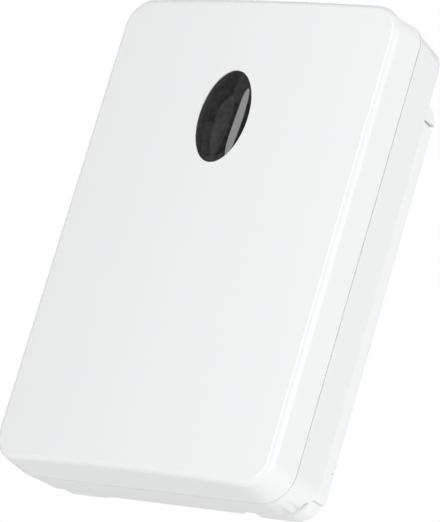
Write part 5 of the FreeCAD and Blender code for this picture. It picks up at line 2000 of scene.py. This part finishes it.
@dataclass
class RadioModule(BoardPart):
    """Small radio board on its pins, with the resonator's metal can."""

    place: Pair = (18.6, 24.6)
    size: Triple = (15.0, 13.0, 0.4)
    levels: Pair = (-12.7, -13.5)
    pitch: float = 2.54
    inset: float = 1.5
    can: Four = (16.0, 26.2, 2.9, 2.4)

    def build(self) -> None:
        """Models the board, its pads and pins, and the can."""
        x, z = self.place
        wide, tall, bend = self.size
        back, front = self.levels
        board = Outline(wide, tall, bend, back, z, across=x).drawn("radio_sheet", front, 4)
        self.shop.place(board, "board_blue", "radio_board")
        spots = [(x + (index - 1.5) * self.pitch, z - tall / 2 + self.inset) for index in range(4)]
        spots += [(x + side * (wide / 2 - self.inset), z + tall / 2 - self.inset) for side in (-1, 1)]
        pin = bar((-0.3, 0.3), (self.sizes.front, back), (-0.3, 0.3), 0.03)
        pins = joined(set_out(pin, spots), "radio_pin_set")
        self.shop.place(pins, "tin", "radio_pins")
        bead = [(0.0, -0.6), (0.3, -0.55), (0.42, -0.3), (0.62, -0.1), (0.8, -0.03), (0.8, 0.04), (0.0, 0.04)]
        beads = set_out(turned("bead", bead, (0, front, 0), steps=20), spots)
        beads = joined(beads, "radio_joints")
        self.shop.place(shaded(beads), "tin")
        paths = [
            [spots[0], (spots[0][0], 21.6), (12.2, 22.6), (12.2, 25.0)],
            [spots[1], (spots[1][0], 22.2)], [spots[2], (spots[2][0], 24.4)],
            [spots[3], (spots[3][0], 22.0), (24.4, 23.8), (24.4, 26.6)],
            [(20.4, 26.4), (22.2, 28.2), spots[5]],
        ]
        copper = joined(tracks(paths, 0.3, front), "radio_tracks")
        self.shop.place(copper, "track_blue")
        self.shop.place(shaded(self._can()), "nickel", "radio_can")

    def _can(self) -> Piece:
        """Turns the resonator's can with its rolled flange.

        Returns:
            The can.
        """
        x, z, radius, rise = self.can
        profile = [(0.0, -rise), (radius - 0.5, -rise)]
        profile += arc((radius - 0.5, 0.5 - rise), (0.5, -0.5), (22.5, 45.0, 67.5, 90.0))
        profile += [(radius, -0.5), (radius + 0.1, -0.4), (radius + 0.45, -0.4), (radius + 0.6, -0.25),
                    (radius + 0.6, 0.0), (0.0, 0.0)]
        return turned("resonator_can", profile, (x, self.levels[1], z), steps=56)


@dataclass
class SmallParts(BoardPart):
    """Crystal, capacitor, light cell, lamp and their shroud."""

    crystal: Four = (-16.5, 14.6, 10.2, 3.8)
    crystal_levels: Pair = (-12.0, -14.9)
    capacitor: Four = (-23.0, 36.6, 2.5, 8.0)
    shroud: Triple = (5.0, 8.8, -19.8)
    cell: Triple = (2.55, -13.5, 0.8)
    lamp: Triple = (1.8, 1.5, 3.8)

    def build(self) -> None:
        """Models the parts."""
        self.shop.place(shaded(self._crystal()), "nickel", "crystal")
        self._capacitor()
        self.shop.place(shaded(self._shroud()), "moulded_black", "light_shroud")
        self._cell()
        self.shop.place(shaded(self._lamp(), 40), "red_resin", "status_lamp")

    def _crystal(self) -> Piece:
        """Lofts the crystal's can on its base.

        Returns:
            The crystal.
        """
        x, z, long, wide = self.crystal
        step, top = self.crystal_levels
        can = lofted("crystal_can", [
            Outline(long, wide, wide / 2 - 0.01, self.sizes.front, z, across=x),
            Outline(long, wide, wide / 2 - 0.01, step, z, across=x),
            Outline(long - 0.8, wide - 0.8, wide / 2 - 0.41, step - 0.01, z, across=x),
            Outline(long - 0.8, wide - 0.8, wide / 2 - 0.41, top, z, across=x),
        ])
        rounded_edges(can, at(top), 0.5, 4)
        return rounded_edges(can, at(step), 0.12)

    def _capacitor(self) -> None:
        """Turns the capacitor's sleeve and its bare metal end."""
        x, z, radius, long = self.capacitor
        place = (x, self.sizes.front - radius, z)
        body = turned("capacitor_body", [
            (0.0, 0.02), (radius - 0.4, 0.02), (radius - 0.1, 0.1), (radius, 0.35), (radius, 1.0),
            (radius - 0.12, 1.12), (radius - 0.24, 1.33), (radius - 0.12, 1.54), (radius, 1.66),
            (radius, long - 0.35), (radius - 0.1, long - 0.1), (radius - 0.4, long),
            (radius - 0.6, long - 0.05), (0.0, long - 0.05)], place, along_x=True, steps=56)
        self.shop.place(shaded(body), "capacitor_sleeve", "capacitor")
        end = turned("capacitor_end", [(0.0, 0.0), (radius - 0.55, 0.0), (radius - 0.5, 0.06), (0.0, 0.06)],
                     place, along_x=True, steps=48)
        self.shop.place(shaded(end), "aluminium")

    def _shroud(self) -> Piece:
        """Models the oval shroud with its two bores.

        Returns:
            The shroud.
        """
        wide, tall, front = self.shroud
        sizes = self.sizes
        shroud = oval_rod((wide, tall), (sizes.front, front), (0, sizes.window))
        span = (sizes.front + 1, front - 1)
        bores = [rod(bore, span, (0, z), 56) for z, bore in (sizes.cell_bore, sizes.lamp_bore)]
        rounded_edges(carved(shroud, joined(bores, "bores")), at(front), 0.2, 3)
        return joined([shroud], "light_guard")

    def _cell(self) -> None:
        """Models the light cell's ceramic disc and its winding track."""
        radius, face, pitch = self.cell
        z, back = self.sizes.cell_bore[0], self.sizes.front
        profile = [(0.0, face), (radius - 0.3, face), (radius - 0.09, face + 0.09), (radius, face + 0.3),
                   (radius, back), (0.0, back)]
        disc = turned("cell_disc", profile, (0, 0, z), steps=64)
        self.shop.place(shaded(disc), "cell_ceramic", "light_cell")
        rises = [(index - 1.5) * pitch for index in range(4)]
        halves = [math.sqrt((radius * 0.72) ** 2 - rise ** 2) for rise in rises]
        legs = [bar((-half, half), (face + 0.05, face - 0.1), (z + rise - 0.15, z + rise + 0.15), 0.03)
                for rise, half in zip(rises, halves)]
        for index, rise in enumerate(rises[:-1]):
            end = (-1) ** index * (min(halves[index:index + 2]) - 0.15)
            legs.append(bar((end - 0.15, end + 0.15), (face + 0.05, face - 0.09),
                            (z + rise, z + rise + pitch), 0.03))
        self.shop.place(joined(legs, "cell_track"), "cell_orange")

    def _lamp(self) -> Piece:
        """Turns the lamp with its collar and domed tip.

        Returns:
            The lamp.
        """
        flange, radius, long = self.lamp
        profile = [(0.0, 0.0), (flange, 0.0), (flange, -0.7), (flange - 0.1, -0.8), (radius, -0.8)]
        profile += arc((0.0, radius - long), (radius, radius), [90.0 + 11.25 * step for step in range(9)])
        return turned("lamp_resin", profile, (0, self.sizes.front, self.sizes.lamp_bore[0]), steps=48)


@dataclass
class Cells(BoardPart):
    """Two round cells in their open holder."""

    radius: float = 5.25
    length: float = 44.5
    nub: float = 1.9
    axis: float = -13.15
    contact_x: float = 24.2
    heights: Pair = (-33.3, -21.7)
    holder: Triple = (25.7, -39.95, -15.05)
    holder_wall: float = 1.2
    side_room: float = 18.2
    rib: Triple = (0.9, 2.6, 0.7)
    tab_room: Triple = (-14.2, -11.2, -29.6)
    end_front: float = -17.95
    side_front: float = -13.9

    def build(self) -> None:
        """Models the cells and the holder with the poles' signs on its end walls."""
        for name, side, z in (("lower", -1, self.heights[0]), ("upper", 1, self.heights[1])):
            self._cell(name, side, z)
        self.shop.place(shaded(self._holder()), "moulded_black", "battery_holder")
        x, (low, high) = self.holder[0] - 0.6, self.heights
        signs = ((-x, low, "+"), (x, low, "-"), (-x, high, "-"), (x, high, "+"))
        marks = [printed(sign, 1.9, (place, z), self.end_front) for place, z, sign in signs]
        marks = joined(marks, "holder_marks")
        self.shop.place(marks, "ink_white")

    def _cell(self, name: str, side: int, z: float) -> None:
        """Turns one cell: its sleeve and its steel can.

        Args:
            name: which cell it is.
            side: 1 if its raised end points to the right, -1 if to the left.
            z: the height of its axis.
        """
        start, radius, end = side * (self.contact_x - self.length), self.radius, self.length - 0.9
        sleeve = [(4.1, 0.25), (4.65, 0.25), (5.05, 0.4), (5.2, 0.62), (radius, 0.9), (radius, end - 0.65),
                  (5.2, end - 0.37), (5.05, end - 0.15), (4.65, end), (4.1, end - 0.1), (4.1, end - 0.3),
                  (4.5, end - 0.6), (4.5, 0.8), (4.1, 0.45)]
        steel = [(0.0, 0.0), (3.6, 0.0), (3.8, 0.12), (3.9, 0.3), (4.3, 0.4), (4.3, end - 0.35),
                 (4.0, end - 0.28), (2.3, end - 0.28), (2.05, end - 0.2), (self.nub, end - 0.05),
                 (self.nub, self.length - 0.15), (self.nub - 0.15, self.length), (0.0, self.length)]
        forms = []
        for kind, profile in (("sleeve", sleeve), ("steel", steel)):
            spots = [(reach, side * station) for reach, station in profile]
            forms.append(turned(f"{name}_cell_{kind}", spots, (start, self.axis, z), along_x=True,
                                closed=kind == "sleeve", steps=72))
        self.shop.place(shaded(forms[0]), f"{name}_sleeve", f"{name}_battery")
        self.shop.place(shaded(forms[1]), "zinc_steel")

    def _holder(self) -> Piece:
        """Cuts the holder's tray out of a block and adds its middle rib.

        Returns:
            The holder.
        """
        out, low, high = self.holder
        floor, mid = self.sizes.floor, sum(self.heights) / 2
        tray = bar((-out, out), (floor, self.end_front), (low, high))
        wall, half, front = self.holder_wall, self.side_room, self.end_front - 1
        carved(tray, bar((wall - out, out - wall), (floor - 1, front), (low + wall, high - wall)),
               bar((-half, half), (self.side_front, front), (low - 1, high + 1)))
        x, z = self.sizes.holder_screw
        span, wide = (floor + 1, floor - 3), self.sizes.screw_hole
        holes = [rod(wide, span, (side * x, z), 28) for side in (-1, 1)]
        tab_front, tab_back, foot = self.tab_room
        holes.append(bar((-out - 1, -self.contact_x), (tab_front, tab_back), (foot, high + 1)))
        carved(tray, joined(holes, "holes"))
        rims = (at(self.end_front), at(self.side_front))
        rounded_edges(tray, lambda place: any(rim(place) for rim in rims), 0.2)
        rise, top, thick = self.rib
        rib = bar((-self.contact_x, self.contact_x), (floor - rise, floor - top), (mid - thick, mid + thick))
        rooms = [rod(2.2, (floor - 0.5, floor - 4), (side * x, z)) for side in (-1, 1)]
        rounded_edges(carved(rib, joined(rooms, "rooms")), at(floor - top), 0.2)
        return joined([tray, rib], "cell_tray")


def main() -> None:
    """Builds the sensor and its studio."""
    logging.basicConfig(level=logging.INFO, format="%(name)s: %(message)s")
    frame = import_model()
    shop, case, board = Workshop(frame), CaseSizes(), BoardSizes()
    for kind in (FrontCover, Window, RearHousing, WallPlate):
        kind(shop, case).build()
    for kind in (ControlPanel, Dials, Buttons, Screws, MainBoard, ChipParts, RadioModule, SmallParts, Cells):
        kind(shop, board).build()
    shop.copy_nodes()
    Studio().build()


if __name__ == "__main__":
    main()
